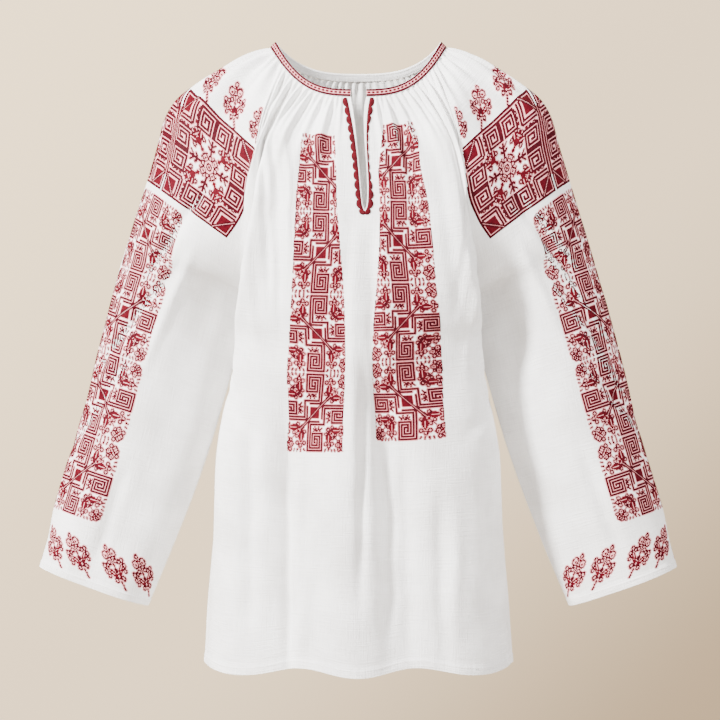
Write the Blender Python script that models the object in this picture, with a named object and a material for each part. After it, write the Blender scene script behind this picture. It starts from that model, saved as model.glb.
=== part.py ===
"""Romanian ie blouse, filled out as it is worn, with nobody in it.

Its pieces are a front with a neck slit, a back, two raglan sleeves, a neck band and the scalloped slit trim.
Lengths are metres, and the tables are in millimetres. +Z is up, the front faces -Y and +X is the wearer's
left. The origin is in the middle of the neck ring, level with its highest points, where the wearer's
shoulders carry the blouse.

Each panel is a sheet of cloth with two coordinates. "run" goes down it: 0 at the neck band, 1 at the armpit
and 2 at the hem or the cuff. "across" goes from -1 to 1 between its two seams.
"""

import math

import bpy
import numpy as np

MM = 0.001

# Cloth and sewing
WALL = 1.4 * MM
SEAM_GAP = 0.3 * MM
BAND_GAP = 0.38 * MM
ARMPIT_GAP = 0.7 * MM
ARMPIT_REACH = 0.06
MITRE_LIMIT = 1.5
HEM_TURN = 8.5 * MM
HEM_STEP = 0.8 * MM
HEM_EXTRA = 0.5 * MM

# Neck ring, measured along the top edge of the band
NECK_HALF_WIDTH = 93.5 * MM
NECK_HALF_DEPTH = 65 * MM
NECK_CENTRE_Y = 5 * MM
NECK_DIP_FRONT = 60 * MM
NECK_DIP_BACK = 29 * MM
NECK_DIP_POWER = 3.3
BAND_HEIGHT = 10 * MM
BAND_EDGE_THICKNESS = 2.2 * MM
BAND_MIDDLE_THICKNESS = 2.8 * MM
BAND_LEAN_MIDDLE = 0.4
BAND_LEAN_SIDE = 1.0
BAND_STATIONS = 88
RAGLAN_ANGLE = math.radians(60)
RING_HOLD = 0.36

# Neck slit and its trim
SLIT_LENGTH = 136 * MM
SLIT_TOP_HALF_GAP = 8.5 * MM
SLIT_HALF_GAP = 4.0 * MM
SLIT_FLARE_LENGTH = 20 * MM
SLIT_END_POWER = 6
SLIT_DRIFT = 7 * MM
SLIT_SPREAD = 0.4
SLIT_CALM = 0.11
SLIT_CALM_LENGTH = 175 * MM
SLIT_CALM_FADE = 30 * MM
TRIM_THICKNESS = 1.0 * MM
TRIM_LIFT = 0.5 * MM
TRIM_WIDTH = 4.6 * MM
TRIM_SCALLOP = 1.7 * MM
TRIM_TOP = 1.2 * MM
TRIM_INSET_TOP = 4.5 * MM
TRIM_INSET_LOW = 1.2 * MM
TRIM_INSET_LENGTH = 45 * MM
TRIM_TURN_STEPS = 3
SCALLOPS_PER_SIDE = 12
STEPS_PER_SCALLOP = 4

# Cloth lengths, which turn a run into a drop below the neck band
YOKE_DROP = 290 * MM
BODY_DROP = 375 * MM
SLEEVE_DROP = 361 * MM

# Gathers under the neck band, each as deep as this either way
FRONT_GATHERS = 30
BACK_GATHERS = 26
SLEEVE_GATHERS = 12
GATHER_DEPTH = 1.1 * MM
GATHER_START = 0.5
GATHER_RISE = 8 * MM
GATHER_LENGTH = 62 * MM
GATHER_UNEVEN = 0.2
GATHER_UNEVEN_RATE = 9.0
GATHER_UNEVEN_PHASE = 1.3

# Shape of the rows
SQUARENESS = 2.4
DROOP_POWER = 3
SWELL_POWER = 1.6
SWELL_TIGHTNESS = 3.5
FOLD_FADE = 70 * MM
SEAM_CALM = 0.09

WHITE = (0.86, 0.855, 0.85, 1.0)
RED = (0.36, 0.035, 0.05, 1.0)

# Rows down each sheet, as runs, and the first row whose columns are twice as wide
YOKE_RUNS = (0.0, 0.028, 0.076, 0.15, 0.24, 0.335, SLIT_LENGTH / YOKE_DROP, 0.54, 0.66, 0.78, 0.88, 0.95, 1.0)
BODY_RUNS = (1.04, 1.12, 1.25, 1.40, 1.56, 1.72, 1.87)
SLEEVE_RUNS = (1.04, 1.11, 1.20, 1.32, 1.45, 1.58, 1.71, 1.85)
ARMPIT_ROW = len(YOKE_RUNS) - 1
SLIT_ROW = 6
WIDE_FROM_ROW = ARMPIT_ROW + 2


class Table:
    """Rows of sizes under named columns, read between the rows on smooth curves. The first column is the run."""

    def __init__(self, columns, *rows):
        self.columns = columns.split()
        self.rows = np.array(rows, float)

    def at(self, column, run):
        x = self.rows[:, 0]
        y = self.rows[:, self.columns.index(column)]
        slope = np.gradient(y, x)
        run = np.clip(run, x[0], x[-1])
        i = np.clip(np.searchsorted(x, run) - 1, 0, len(x) - 2)
        width = x[i + 1] - x[i]
        t = (run - x[i]) / width
        level = (2 * t**3 - 3 * t**2 + 1) * y[i] + (3 * t**2 - 2 * t**3) * y[i + 1]
        bend = (t**3 - 2 * t**2 + t) * slope[i] + (t**3 - t**2) * slope[i + 1]
        return (level + width * bend) * MM


# Raglan seams from the neck to the armpit, then the side seam down to the hem, at +X
SEAM = Table(
    "run x z front_y back_y",
    (0.00, 88, -30, 31, 41),
    (0.19, 106, -86, 70, 64),
    (0.36, 115, -138, 84, 78),
    (0.52, 120, -186, 88, 82),
    (0.66, 124, -230, 80, 75),
    (0.79, 126, -266, 60, 57),
    (0.90, 123, -290, 31, 30),
    (1.00, 118, -300, 0, 0),
    (1.04, 117, -316, 0, 0),
    (1.10, 120, -341, 0, 0),
    (1.22, 132, -389, 0, 0),
    (1.36, 149, -446, 0, 0),
    (1.50, 159, -503, 0, 0),
    (1.66, 165, -569, 0, 0),
    (1.83, 171, -639, 0, 0),
    (2.00, 175, -709, 0, 0),
)

# The middle line of the front and of the back, and how far each panel swells out beside the arm
MIDDLE = Table(
    "run front_y front_z back_y back_z swell",
    (0.00, 64, -70, 74, -39, 0),
    (0.19, 86, -121, 91, -92, 4),
    (0.36, 102, -168, 101, -141, 6),
    (0.52, 113, -213, 107, -189, 8),
    (0.66, 119, -254, 110, -230, 11),
    (0.79, 122, -292, 112, -268, 16),
    (0.90, 124, -323, 113, -300, 24),
    (1.00, 126, -351, 114, -329, 31),
    (1.10, 127, -386, 115, -366, 33),
    (1.22, 128, -429, 117, -411, 27),
    (1.36, 130, -479, 119, -463, 18),
    (1.50, 132, -529, 123, -515, 10),
    (1.66, 135, -586, 128, -576, 4),
    (1.83, 139, -647, 134, -642, 0),
    (2.00, 142, -708, 140, -709, 0),
)

# The sleeve's outer line, from the neck over the shoulder to the cuff
OUTER = Table(
    "run x y z",
    (0.00, 102, 5, -7),
    (0.12, 137, 5, -19),
    (0.21, 162, 5, -34),
    (0.30, 184, 5, -48),
    (0.39, 208, 4, -67),
    (0.47, 220, 3, -87),
    (0.56, 228, 2, -116),
    (0.71, 241, 1, -160),
    (0.86, 255, 0, -203),
    (1.00, 268, 0, -246),
    (1.14, 282, -2, -296),
    (1.28, 296, -5, -350),
    (1.46, 312, -9, -418),
    (1.60, 326, -13, -470),
    (1.76, 341, -18, -527),
    (1.90, 352, -22, -568),
    (2.00, 360, -25, -597),
)

# The sleeve's under line and its half depth. In thousandths, how far round the arm its edges lie, as a share of
# half a turn, and how far the cloth is pinched to a point along the under line.
UNDER = Table(
    "run x z half_depth reach pinch",
    (0.00, 118, -300, 40, 333, 0),
    (0.20, 118, -300, 56, 400, 0),
    (0.40, 118, -300, 68, 490, 0),
    (0.60, 118, -300, 74, 590, 40),
    (0.80, 118, -300, 71, 730, 120),
    (0.90, 118, -300, 67, 840, 170),
    (1.00, 118, -300, 63, 1000, 170),
    (1.05, 127, -317, 62, 1000, 150),
    (1.14, 137, -350, 61, 1000, 110),
    (1.28, 151, -400, 60, 1000, 60),
    (1.46, 169, -461, 57, 1000, 30),
    (1.60, 187, -513, 54, 1000, 10),
    (1.76, 208, -567, 50, 1000, 0),
    (1.90, 226, -611, 46, 1000, 0),
    (2.00, 239, -641, 43, 1000, 0),
)

# Soft folds. Each drifts across from one place to another between two drops below the neck band. The drops and
# the depth are millimetres, the width is a share of the half panel, and a depth below zero is a trough.
FRONT_FOLDS = (
    # from across, to across, from drop, to drop, width, depth
    (-0.88, -0.86, 5, 330, 0.050, 2.6),
    (-0.76, -0.75, 0, 340, 0.045, -3.5),
    (-0.63, -0.65, 5, 300, 0.050, 3.0),
    (-0.50, -0.53, 5, 280, 0.045, -2.8),
    (-0.27, -0.26, 15, 340, 0.070, -3.2),
    (-0.13, -0.11, 30, 260, 0.050, 2.6),
    (0.12, 0.10, 30, 260, 0.050, 2.8),
    (0.26, 0.24, 15, 330, 0.060, -2.8),
    (0.50, 0.53, 0, 280, 0.045, -3.2),
    (0.62, 0.65, 5, 330, 0.050, 3.4),
    (0.74, 0.77, 0, 340, 0.045, -3.6),
    (0.87, 0.88, 5, 330, 0.050, 2.8),
    (-0.33, -0.28, 310, 990, 0.16, -15.0),
    (0.13, 0.27, 290, 990, 0.16, -15.0),
    (-0.57, -0.53, 330, 990, 0.18, 6.0),
    (-0.05, -0.01, 320, 990, 0.17, 6.0),
    (0.50, 0.59, 330, 990, 0.18, 6.0),
)
BACK_FOLDS = (
    # from across, to across, from drop, to drop, width, depth
    (-0.86, -0.84, 5, 330, 0.050, 2.8),
    (-0.72, -0.70, 0, 340, 0.045, -3.4),
    (-0.55, -0.57, 5, 290, 0.055, 2.8),
    (-0.38, -0.36, 5, 320, 0.050, -2.8),
    (-0.20, -0.17, 10, 270, 0.055, 2.6),
    (0.02, 0.03, 10, 340, 0.055, -3.2),
    (0.21, 0.20, 5, 280, 0.050, 2.8),
    (0.40, 0.43, 5, 330, 0.050, -3.0),
    (0.58, 0.60, 5, 290, 0.055, 3.0),
    (0.74, 0.73, 0, 340, 0.045, -3.4),
    (0.88, 0.87, 5, 330, 0.050, 2.8),
    (-0.44, -0.42, 310, 990, 0.15, -13.0),
    (0.06, 0.02, 320, 990, 0.16, -14.0),
    (0.47, 0.45, 310, 990, 0.15, -12.0),
    (-0.70, -0.67, 330, 990, 0.15, 5.0),
    (-0.20, -0.20, 330, 990, 0.16, 6.0),
    (0.25, 0.24, 330, 990, 0.16, 6.0),
    (0.70, 0.68, 330, 990, 0.15, 5.0),
)
LEFT_SLEEVE_FOLDS = (
    # from across, to across, from drop, to drop, width, depth
    (-0.76, -0.60, 5, 260, 0.10, -3.6),
    (-0.48, -0.40, 5, 210, 0.11, 2.6),
    (0.34, 0.30, 5, 230, 0.11, -3.0),
    (0.68, 0.54, 5, 260, 0.10, -3.4),
    (-0.82, -0.58, 230, 720, 0.13, -6.0),
    (0.72, 0.48, 240, 720, 0.13, -5.5),
)
RIGHT_SLEEVE_FOLDS = (
    # from across, to across, from drop, to drop, width, depth
    (-0.72, -0.56, 5, 240, 0.10, -3.6),
    (-0.45, -0.37, 5, 200, 0.11, 2.6),
    (0.30, 0.28, 5, 230, 0.11, -3.0),
    (0.70, 0.56, 5, 250, 0.10, -3.4),
    (-0.72, -0.46, 240, 720, 0.14, -6.0),
    (0.76, 0.52, 250, 720, 0.13, -5.5),
)


def unit(v):
    return v / np.linalg.norm(v, axis=-1, keepdims=True)


def points_of(x, y, z):
    return np.stack(np.broadcast_arrays(x, y, z), axis=-1)


def eased(t):
    t = np.clip(t, 0, 1)
    return t * t * (3 - 2 * t)


def ring(angle, height):
    """The neck band's middle surface: angle from the front towards +X, height down from its top edge."""
    side, ahead = np.sin(angle), np.cos(angle)
    dip = np.where(ahead > 0, NECK_DIP_FRONT, NECK_DIP_BACK) * (1 - np.abs(side) ** NECK_DIP_POWER)
    top = points_of(NECK_HALF_WIDTH * side, NECK_CENTRE_Y - NECK_HALF_DEPTH * ahead, -dip)
    lean = BAND_LEAN_MIDDLE + (BAND_LEAN_SIDE - BAND_LEAN_MIDDLE) * side**2
    return top + np.asarray(height)[..., None] * unit(points_of(lean * side, -lean * ahead, -1.0))


def ring_outward(angle):
    small = 0.01
    along = ring(angle + small, 0.0) - ring(angle - small, 0.0)
    down = ring(angle, 1.0) - ring(angle, 0.0)
    return unit(np.cross(down, along))


def hold_at_ring(run, points, first_points, angle):
    """Row 0 moves onto the neck ring, just under the band, and the rows below it follow less and less."""
    share = ((1 - np.clip(run / RING_HOLD, 0, 1)) ** 2)[..., None]
    return points + share * (ring(angle, BAND_HEIGHT + BAND_GAP) - first_points)


def panel_rows(run, across, name):
    """The front or back by its tables alone, facing +Y."""
    size = np.abs(across)
    turn = np.pi / 2 * size
    reach = (np.abs(np.sin(turn)) ** SQUARENESS + np.abs(np.cos(turn)) ** SQUARENESS) ** (-1 / SQUARENESS)
    swell = MIDDLE.at("swell", run) * np.sin(np.pi * size**SWELL_POWER) ** SWELL_TIGHTNESS
    x = np.sign(across) * (SEAM.at("x", run) * np.sin(turn) * reach + swell)
    seam_y, middle_y = SEAM.at(f"{name}_y", run), MIDDLE.at(f"{name}_y", run)
    seam_z, middle_z = SEAM.at("z", run), MIDDLE.at(f"{name}_z", run)
    y = seam_y + (middle_y - seam_y) * np.cos(turn) * reach
    return points_of(x, y, middle_z + (seam_z - middle_z) * size**DROOP_POWER)


def front_shape(run, across):
    mirror = np.array((1, -1, 1))
    rows = panel_rows(run, across, "front") * mirror
    first = panel_rows(np.zeros_like(run), across, "front") * mirror
    return hold_at_ring(run, rows, first, RAGLAN_ANGLE * across)


def back_shape(run, across):
    rows = panel_rows(run, across, "back")
    first = panel_rows(np.zeros_like(run), across, "back")
    return hold_at_ring(run, rows, first, np.pi - RAGLAN_ANGLE * across)


def sleeve_rows(run, across):
    """The sleeve at +X by its tables alone. It goes round the arm from its front seam to its back seam."""
    outer = points_of(OUTER.at("x", run), OUTER.at("y", run), OUTER.at("z", run))
    y = np.where(across < 0, -SEAM.at("front_y", run), SEAM.at("back_y", run))
    seam = points_of(SEAM.at("x", run), y, SEAM.at("z", run))
    under = points_of(UNDER.at("x", run), outer[..., 1], UNDER.at("z", run))
    end = np.where((run > 1)[..., None], under, seam)
    reach = np.pi * UNDER.at("reach", run)
    turn = reach * across
    share = (np.cos(turn) - np.cos(reach)) / (1 - np.cos(reach))
    pinch = UNDER.at("pinch", run) * np.maximum(np.abs(np.sin(turn)) - np.sin(reach), 0)
    depth = UNDER.at("half_depth", run)
    miss = end[..., 1] - outer[..., 1] - np.sign(across) * depth * np.sin(reach)
    rows = end + (share + pinch * (1 - share))[..., None] * (outer - end)
    rows[..., 1] = outer[..., 1] + depth * np.sin(turn) + miss * (1 - share) ** 2
    return rows


def left_sleeve_shape(run, across):
    first = sleeve_rows(np.zeros_like(run), across)
    angle = np.pi / 2 + (np.pi / 2 - RAGLAN_ANGLE) * across
    return hold_at_ring(run, sleeve_rows(run, across), first, angle)


def right_sleeve_shape(run, across):
    return left_sleeve_shape(run, across) * np.array((-1, 1, 1))


def drop_of(run, lower_drop):
    """Length of cloth below the neck band, with lower_drop from the armpit to the panel's end."""
    return np.clip(run, 0, 1) * YOKE_DROP + np.clip(run - 1, 0, 1) * lower_drop


def gathers(across, drop, count):
    """The drawn-up cloth under the band: count waves across the panel, which die out down it."""
    rise = GATHER_START + (1 - GATHER_START) * eased(drop / GATHER_RISE)
    uneven = 1 - GATHER_UNEVEN + GATHER_UNEVEN * np.sin(GATHER_UNEVEN_RATE * across + GATHER_UNEVEN_PHASE)
    return GATHER_DEPTH * uneven * rise * np.exp(-((drop / GATHER_LENGTH) ** 2)) * np.cos(np.pi * count * across)


def folds(table, across, drop):
    total = np.zeros_like(drop)
    for from_across, to_across, from_drop, to_drop, width, depth in table:
        start, end = from_drop * MM, to_drop * MM
        centre = from_across + (to_across - from_across) * np.clip((drop - start) / (end - start), 0, 1)
        ends = eased((drop - start) / FOLD_FADE) * eased((end - drop) / FOLD_FADE)
        total += depth * MM * ends * np.exp(-(((across - centre) / width) ** 2))
    return total


def slit_half_gap(drop):
    """Half the distance between the slit's two edges."""
    still_open = np.sqrt(np.clip(1 - (drop / SLIT_LENGTH) ** SLIT_END_POWER, 0, 1))
    flare = (SLIT_TOP_HALF_GAP - SLIT_HALF_GAP) * np.exp(-drop / SLIT_FLARE_LENGTH)
    return (SLIT_HALF_GAP + flare) * still_open


class Sheet:
    """A panel as a grid of points, with the way out of its wall at each point.

    winding is 1 where down, then across, turns to face out, and -1 where it turns to face in.
    """

    def __init__(self, shape, run, across, winding):
        self.run, self.across, self.winding = run, across, winding
        small = 0.002
        down = shape(np.minimum(run + small, 2), across) - shape(np.maximum(run - small, 0), across)
        sideways = shape(run, np.minimum(across + small, 1)) - shape(run, np.maximum(across - small, -1))
        self.points = shape(run, across)
        self.out = unit(np.cross(down, sideways)) * winding
        self.extra = np.zeros(self.run.shape)

    def finish(self, distance, ring_out):
        """Push the points out by a distance that dies away at the seams, and thicken the turned-up edge."""
        calm = eased((1 - np.abs(self.across)) / SEAM_CALM)
        self.out[0] = ring_out
        self.points = self.points + (calm * distance)[..., None] * self.out
        self.extra[-2:] = HEM_EXTRA

    def outer(self):
        return self.points + (self.out * (WALL / 2 + self.extra[..., None]))

    def inner(self):
        return self.points - self.out * WALL / 2


def hem_runs(lower_drop):
    """The last rows of a panel: just above the turned-up edge, on its step, and its end."""
    return (2 - (HEM_TURN + HEM_STEP) / lower_drop, 2 - HEM_TURN / lower_drop, 2.0)


def seam_gap(run):
    """The gap between two sewn edges, a little wider where four of them meet."""
    return SEAM_GAP + (ARMPIT_GAP - SEAM_GAP) * np.exp(-(((run - 1) / ARMPIT_REACH) ** 2))


def sew(a, a_column, b, b_column, rows):
    """Mitre two edges where they are sewn and leave the seam's gap. Returns the way into the first sheet."""
    edge = a.points[rows, a_column]
    shared = unit(a.out[rows, a_column] + b.out[rows, b_column])
    stretch = 1 / np.maximum(np.sum(shared * a.out[rows, a_column], axis=-1), 1 / MITRE_LIMIT)
    into = unit(np.cross(shared, np.gradient(edge, axis=0)))
    next_column = 1 if a_column == 0 else -2
    sign = np.sign(np.sum(into * (a.points[rows, next_column] - edge), axis=-1))
    into = into * sign[:, None]
    half_gap = seam_gap(a.run[rows, a_column])[:, None] / 2
    a.points[rows, a_column] += into * half_gap
    b.points[rows, b_column] -= into * half_gap
    a.out[rows, a_column] = shared * stretch[:, None]
    b.out[rows, b_column] = shared * stretch[:, None]
    return into


def sew_armhole(front, back, sleeve, column):
    """Sew the two raglan seams, the side seam and the sleeve's own seam, which all meet at the armpit."""
    corner = ((front, column), (back, column), (sleeve, 0), (sleeve, -1))
    shared = unit(sum(sheet.out[ARMPIT_ROW, edge] for sheet, edge in corner))
    above = slice(0, ARMPIT_ROW)
    below = slice(ARMPIT_ROW + 1, None)
    front_raglan = sew(front, column, sleeve, 0, above)[-1]
    back_raglan = sew(back, column, sleeve, -1, above)[-1]
    side = sew(front, column, back, column, below)[0]
    under = sew(sleeve, 0, sleeve, -1, below)[0]
    moves = (front_raglan + side, back_raglan - side, under - front_raglan, -under - back_raglan)
    for (sheet, edge), move in zip(corner, moves):
        sheet.points[ARMPIT_ROW, edge] += move * ARMPIT_GAP / 2
        sheet.out[ARMPIT_ROW, edge] = shared


def halves(top_left, low_left, low_right, top_right, mirrored):
    """The two triangles of a cell. Cells on the two sides of a panel are split along mirrored diagonals."""
    if mirrored:
        return [(top_left, low_left, top_right), (low_left, low_right, top_right)]
    return [(top_left, low_left, low_right), (top_left, low_right, top_right)]


def grid_faces(index, winding, wide_from=None, mirrored_before=0):
    """Triangles of a grid of point numbers. From row wide_from on, only every second column is used."""
    faces = []
    rows, columns = index.shape
    for r in range(rows - 1):
        wide = wide_from is not None and r + 1 >= wide_from
        for c in range(0, columns - 1, 2 if wide else 1):
            far = c + 2 if wide else c + 1
            cell = (index[r, c], index[r + 1, c], index[r + 1, far], index[r, far])
            if wide and r + 1 == wide_from:
                middle = index[r, c + 1]
                faces += [(cell[0], cell[1], middle), (middle, cell[1], cell[2]), (middle, cell[2], cell[3])]
            else:
                faces += halves(*cell, c < mirrored_before)
    return faces if winding > 0 else [face[::-1] for face in faces]


def cloth_material(name, colour, roughness):
    material = bpy.data.materials.new(name)
    material.use_nodes = True
    shader = material.node_tree.nodes["Principled BSDF"]
    shader.inputs["Base Color"].default_value = colour
    shader.inputs["Roughness"].default_value = roughness
    shader.inputs["Metallic"].default_value = 0.0
    return material


def build_wall(name, outer, inner, faces, material):
    """A closed solid from the two sides of a wall, with a rim round every edge that only one face has.

    Rims are split from the outside of their upper end, so that two sewn edges twist together and keep their gap.
    """
    outer, inner = outer.reshape(-1, 3), inner.reshape(-1, 3)
    used = sorted({i for face in faces for i in face})
    number = {old: new for new, old in enumerate(used)}
    outside = [tuple(number[i] for i in face) for face in faces]
    count = len(used)
    inside = [tuple(i + count for i in reversed(face)) for face in outside]
    edges = {(face[i], face[(i + 1) % 3]) for face in outside for i in range(3)}
    rims = []
    for a, b in sorted(edges):
        if (b, a) in edges:
            continue
        if a < b:
            rims += [(b, a, b + count), (a, a + count, b + count)]
        else:
            rims += [(b, a, a + count), (b, a + count, b + count)]
    mesh = bpy.data.meshes.new(name)
    corners = np.concatenate([outer[used], inner[used]])
    mesh.from_pydata(corners.tolist(), [], outside + inside + rims)
    mesh.materials.append(material)
    mesh.update()
    mesh.shade_smooth()
    mesh.set_sharp_from_angle(angle=math.radians(50))
    built = bpy.data.objects.new(name, mesh)
    bpy.context.collection.objects.link(built)
    return built


def make_front():
    """The front. Its middle column is doubled, and the two copies part above the slit's end."""
    half = np.linspace(0, 1, FRONT_GATHERS + 1)
    columns = np.concatenate([-half[::-1], half])
    side = np.concatenate([-np.ones(len(half)), np.ones(len(half))])
    run, column = np.meshgrid(YOKE_RUNS + BODY_RUNS + hem_runs(BODY_DROP), columns, indexing="ij")
    drop = drop_of(run, BODY_DROP)
    spread = 1 - eased(np.abs(column) / SLIT_SPREAD)
    drift = SLIT_DRIFT * eased(drop / SLIT_LENGTH) * eased((2 * SLIT_LENGTH - drop) / SLIT_LENGTH)
    small = 0.01 * np.ones_like(run)
    breadth = front_shape(run, small)[..., 0] / small
    across = column + spread * (side * slit_half_gap(drop) + drift) / breadth
    sheet = Sheet(front_shape, run, across, 1)
    near_slit = (1 - eased(np.abs(column) / SLIT_CALM - 0.5)) * eased((SLIT_CALM_LENGTH - drop) / SLIT_CALM_FADE)
    waves = gathers(column, drop, FRONT_GATHERS) + folds(FRONT_FOLDS, column, drop)
    sheet.finish(waves * (1 - near_slit), ring_outward(RAGLAN_ANGLE * across[0]))
    return sheet


def make_back():
    columns = np.linspace(-1, 1, 2 * BACK_GATHERS + 1)
    run, across = np.meshgrid(YOKE_RUNS + BODY_RUNS + hem_runs(BODY_DROP), columns, indexing="ij")
    sheet = Sheet(back_shape, run, across, -1)
    drop = drop_of(run, BODY_DROP)
    waves = gathers(across, drop, BACK_GATHERS) + folds(BACK_FOLDS, across, drop)
    sheet.finish(waves, ring_outward(np.pi - RAGLAN_ANGLE * columns))
    return sheet


def make_sleeve(shape, table, winding):
    columns = np.linspace(-1, 1, 2 * SLEEVE_GATHERS + 1)
    run, across = np.meshgrid(YOKE_RUNS + SLEEVE_RUNS + hem_runs(SLEEVE_DROP), columns, indexing="ij")
    sheet = Sheet(shape, run, across, winding)
    drop = drop_of(run, SLEEVE_DROP)
    waves = gathers(across, drop, SLEEVE_GATHERS) + folds(table, across, drop)
    outward = ring_outward(np.pi / 2 + (np.pi / 2 - RAGLAN_ANGLE) * columns)
    sheet.finish(waves, outward * np.array((winding, 1, 1)))
    return sheet


def build_front(sheet, material):
    """The two halves share their middle points from the slit's end down."""
    index = np.arange(sheet.run.size).reshape(sheet.run.shape)
    middle = index.shape[1] // 2
    index[SLIT_ROW:, middle] = index[SLIT_ROW:, middle - 1]
    faces = grid_faces(index[:, :middle], 1, WIDE_FROM_ROW, middle)
    faces += grid_faces(index[:, middle:], 1, WIDE_FROM_ROW)
    return build_wall("front", sheet.outer(), sheet.inner(), faces, material)


def build_panel(name, sheet, material, wide_from=None, mirrored_before=0):
    index = np.arange(sheet.run.size).reshape(sheet.run.shape)
    faces = grid_faces(index, sheet.winding, wide_from, mirrored_before)
    return build_wall(name, sheet.outer(), sheet.inner(), faces, material)


def build_neck_band(material):
    """The band goes all round from one edge of the slit to the other, a little thicker along its middle."""
    gap_angle = math.asin(SLIT_TOP_HALF_GAP / NECK_HALF_WIDTH)
    angle = np.linspace(gap_angle, 2 * np.pi - gap_angle, BAND_STATIONS + 1)
    angle, height = np.meshgrid(angle, (0.0, BAND_HEIGHT / 2, BAND_HEIGHT))
    half = np.array((BAND_EDGE_THICKNESS, BAND_MIDDLE_THICKNESS, BAND_EDGE_THICKNESS)) / 2
    points = ring(angle, height)
    out = ring_outward(angle) * half[:, None, None]
    index = np.arange(angle.size).reshape(angle.shape)
    return build_wall("neck_band", points + out, points - out, grid_faces(index, 1), material)


def on_front(sheet, side, drop, reach):
    """A place on the front's outer face, reach away from the slit's edge on one side, and its way out."""
    middle = sheet.run.shape[1] // 2
    half = slice(middle, None) if side > 0 else slice(middle - 1, None, -1)
    runs = sheet.run[:, 0]
    row = np.searchsorted(runs, drop / YOKE_DROP) - 1
    share = (drop / YOKE_DROP - runs[row]) / (runs[row + 1] - runs[row])
    outer = sheet.outer()[:, half]
    line = outer[row] * (1 - share) + outer[row + 1] * share
    out = sheet.out[row, half] * (1 - share) + sheet.out[row + 1, half] * share
    length = np.concatenate([[0], np.cumsum(np.linalg.norm(np.diff(line, axis=0), axis=1))])
    spot = [np.interp(reach, length, line[:, k]) for k in range(3)]
    way = [np.interp(reach, length, out[:, k]) for k in range(3)]
    return np.array(spot), unit(np.array(way))


def trim_stations():
    """Drop and reach of the trim's inner and outer edge on one side of the slit, down and round its end."""
    stations = []
    steps = SCALLOPS_PER_SIDE * STEPS_PER_SCALLOP
    turn_drop = SLIT_LENGTH - TRIM_INSET_LOW
    for k in range(steps + 1):
        drop = TRIM_TOP + (turn_drop - TRIM_TOP) * k / steps
        inset = TRIM_INSET_LOW + (TRIM_INSET_TOP - TRIM_INSET_LOW) * math.exp(-((drop / TRIM_INSET_LENGTH) ** 2))
        width = TRIM_WIDTH + TRIM_SCALLOP * abs(math.sin(math.pi * k / STEPS_PER_SCALLOP))
        stations.append(((drop, inset), (drop, inset + width)))
    for k in range(1, TRIM_TURN_STEPS + 1):
        turn = math.pi / 2 * k / TRIM_TURN_STEPS
        inner, outer = TRIM_INSET_LOW, TRIM_INSET_LOW + TRIM_WIDTH + TRIM_SCALLOP * math.sin(2 * turn)
        down, across = math.sin(turn), max(math.cos(turn), 0.0)
        stations.append(((turn_drop + 2 * inner * down, inner * across), (turn_drop + outer * down, outer * across)))
    return stations


def build_slit_trim(sheet, material):
    """The scalloped trim, laid on the front's outer face along both edges of the slit."""
    stations = trim_stations()
    spots = [(-1, station) for station in stations] + [(1, station) for station in stations[-2::-1]]
    near, far = [], []
    for edge in range(2):
        for side, station in spots:
            spot, way = on_front(sheet, side, *station[edge])
            near.append(spot + way * TRIM_LIFT)
            far.append(spot + way * (TRIM_LIFT + TRIM_THICKNESS))
    index = np.arange(len(near)).reshape(2, -1)
    return build_wall("slit_trim", np.array(far), np.array(near), grid_faces(index, 1), material)


def main():
    for old in list(bpy.data.objects):
        bpy.data.objects.remove(old)
    white = cloth_material("white_cotton", WHITE, 0.85)
    red = cloth_material("red_trim", RED, 0.6)
    band = cloth_material("embroidered_band", WHITE, 0.85)

    front, back = make_front(), make_back()
    left = make_sleeve(left_sleeve_shape, LEFT_SLEEVE_FOLDS, 1)
    right = make_sleeve(right_sleeve_shape, RIGHT_SLEEVE_FOLDS, -1)
    sew_armhole(front, back, left, -1)
    sew_armhole(front, back, right, 0)

    build_front(front, white)
    build_panel("back", back, white, WIDE_FROM_ROW, BACK_GATHERS)
    build_panel("sleeve_left", left, white)
    build_panel("sleeve_right", right, white)
    build_neck_band(band)
    build_slit_trim(front, red)


main()
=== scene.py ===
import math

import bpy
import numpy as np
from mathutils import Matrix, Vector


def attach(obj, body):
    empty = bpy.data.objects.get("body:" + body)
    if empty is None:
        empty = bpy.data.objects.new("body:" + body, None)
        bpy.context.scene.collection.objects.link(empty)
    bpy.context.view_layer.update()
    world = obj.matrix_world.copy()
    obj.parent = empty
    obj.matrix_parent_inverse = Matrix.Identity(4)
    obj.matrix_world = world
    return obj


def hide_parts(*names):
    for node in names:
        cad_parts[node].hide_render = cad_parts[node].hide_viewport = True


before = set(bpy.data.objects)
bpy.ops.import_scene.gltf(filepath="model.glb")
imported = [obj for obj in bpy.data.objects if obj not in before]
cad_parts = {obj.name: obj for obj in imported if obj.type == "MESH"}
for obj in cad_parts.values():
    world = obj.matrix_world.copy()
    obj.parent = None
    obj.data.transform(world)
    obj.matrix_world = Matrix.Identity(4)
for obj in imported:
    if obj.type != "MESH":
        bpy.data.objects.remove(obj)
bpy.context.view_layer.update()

# The dressed blouse. Each panel repeats its solid's form on a finer grid, as a thin shell of cloth with small
# gathers and creases. The cross stitch, the neck band, the slit's satin scallops and the sewing lie on it.
# Each panel is a sheet with two coordinates. "run" goes down it: 0 at the neck band, 1 at the armpit and 2 at
# the hem or the cuff. "across" goes from -1 to 1 between its two seams. Lengths are metres, and tables are
# millimetres.

MM = 0.001

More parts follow.
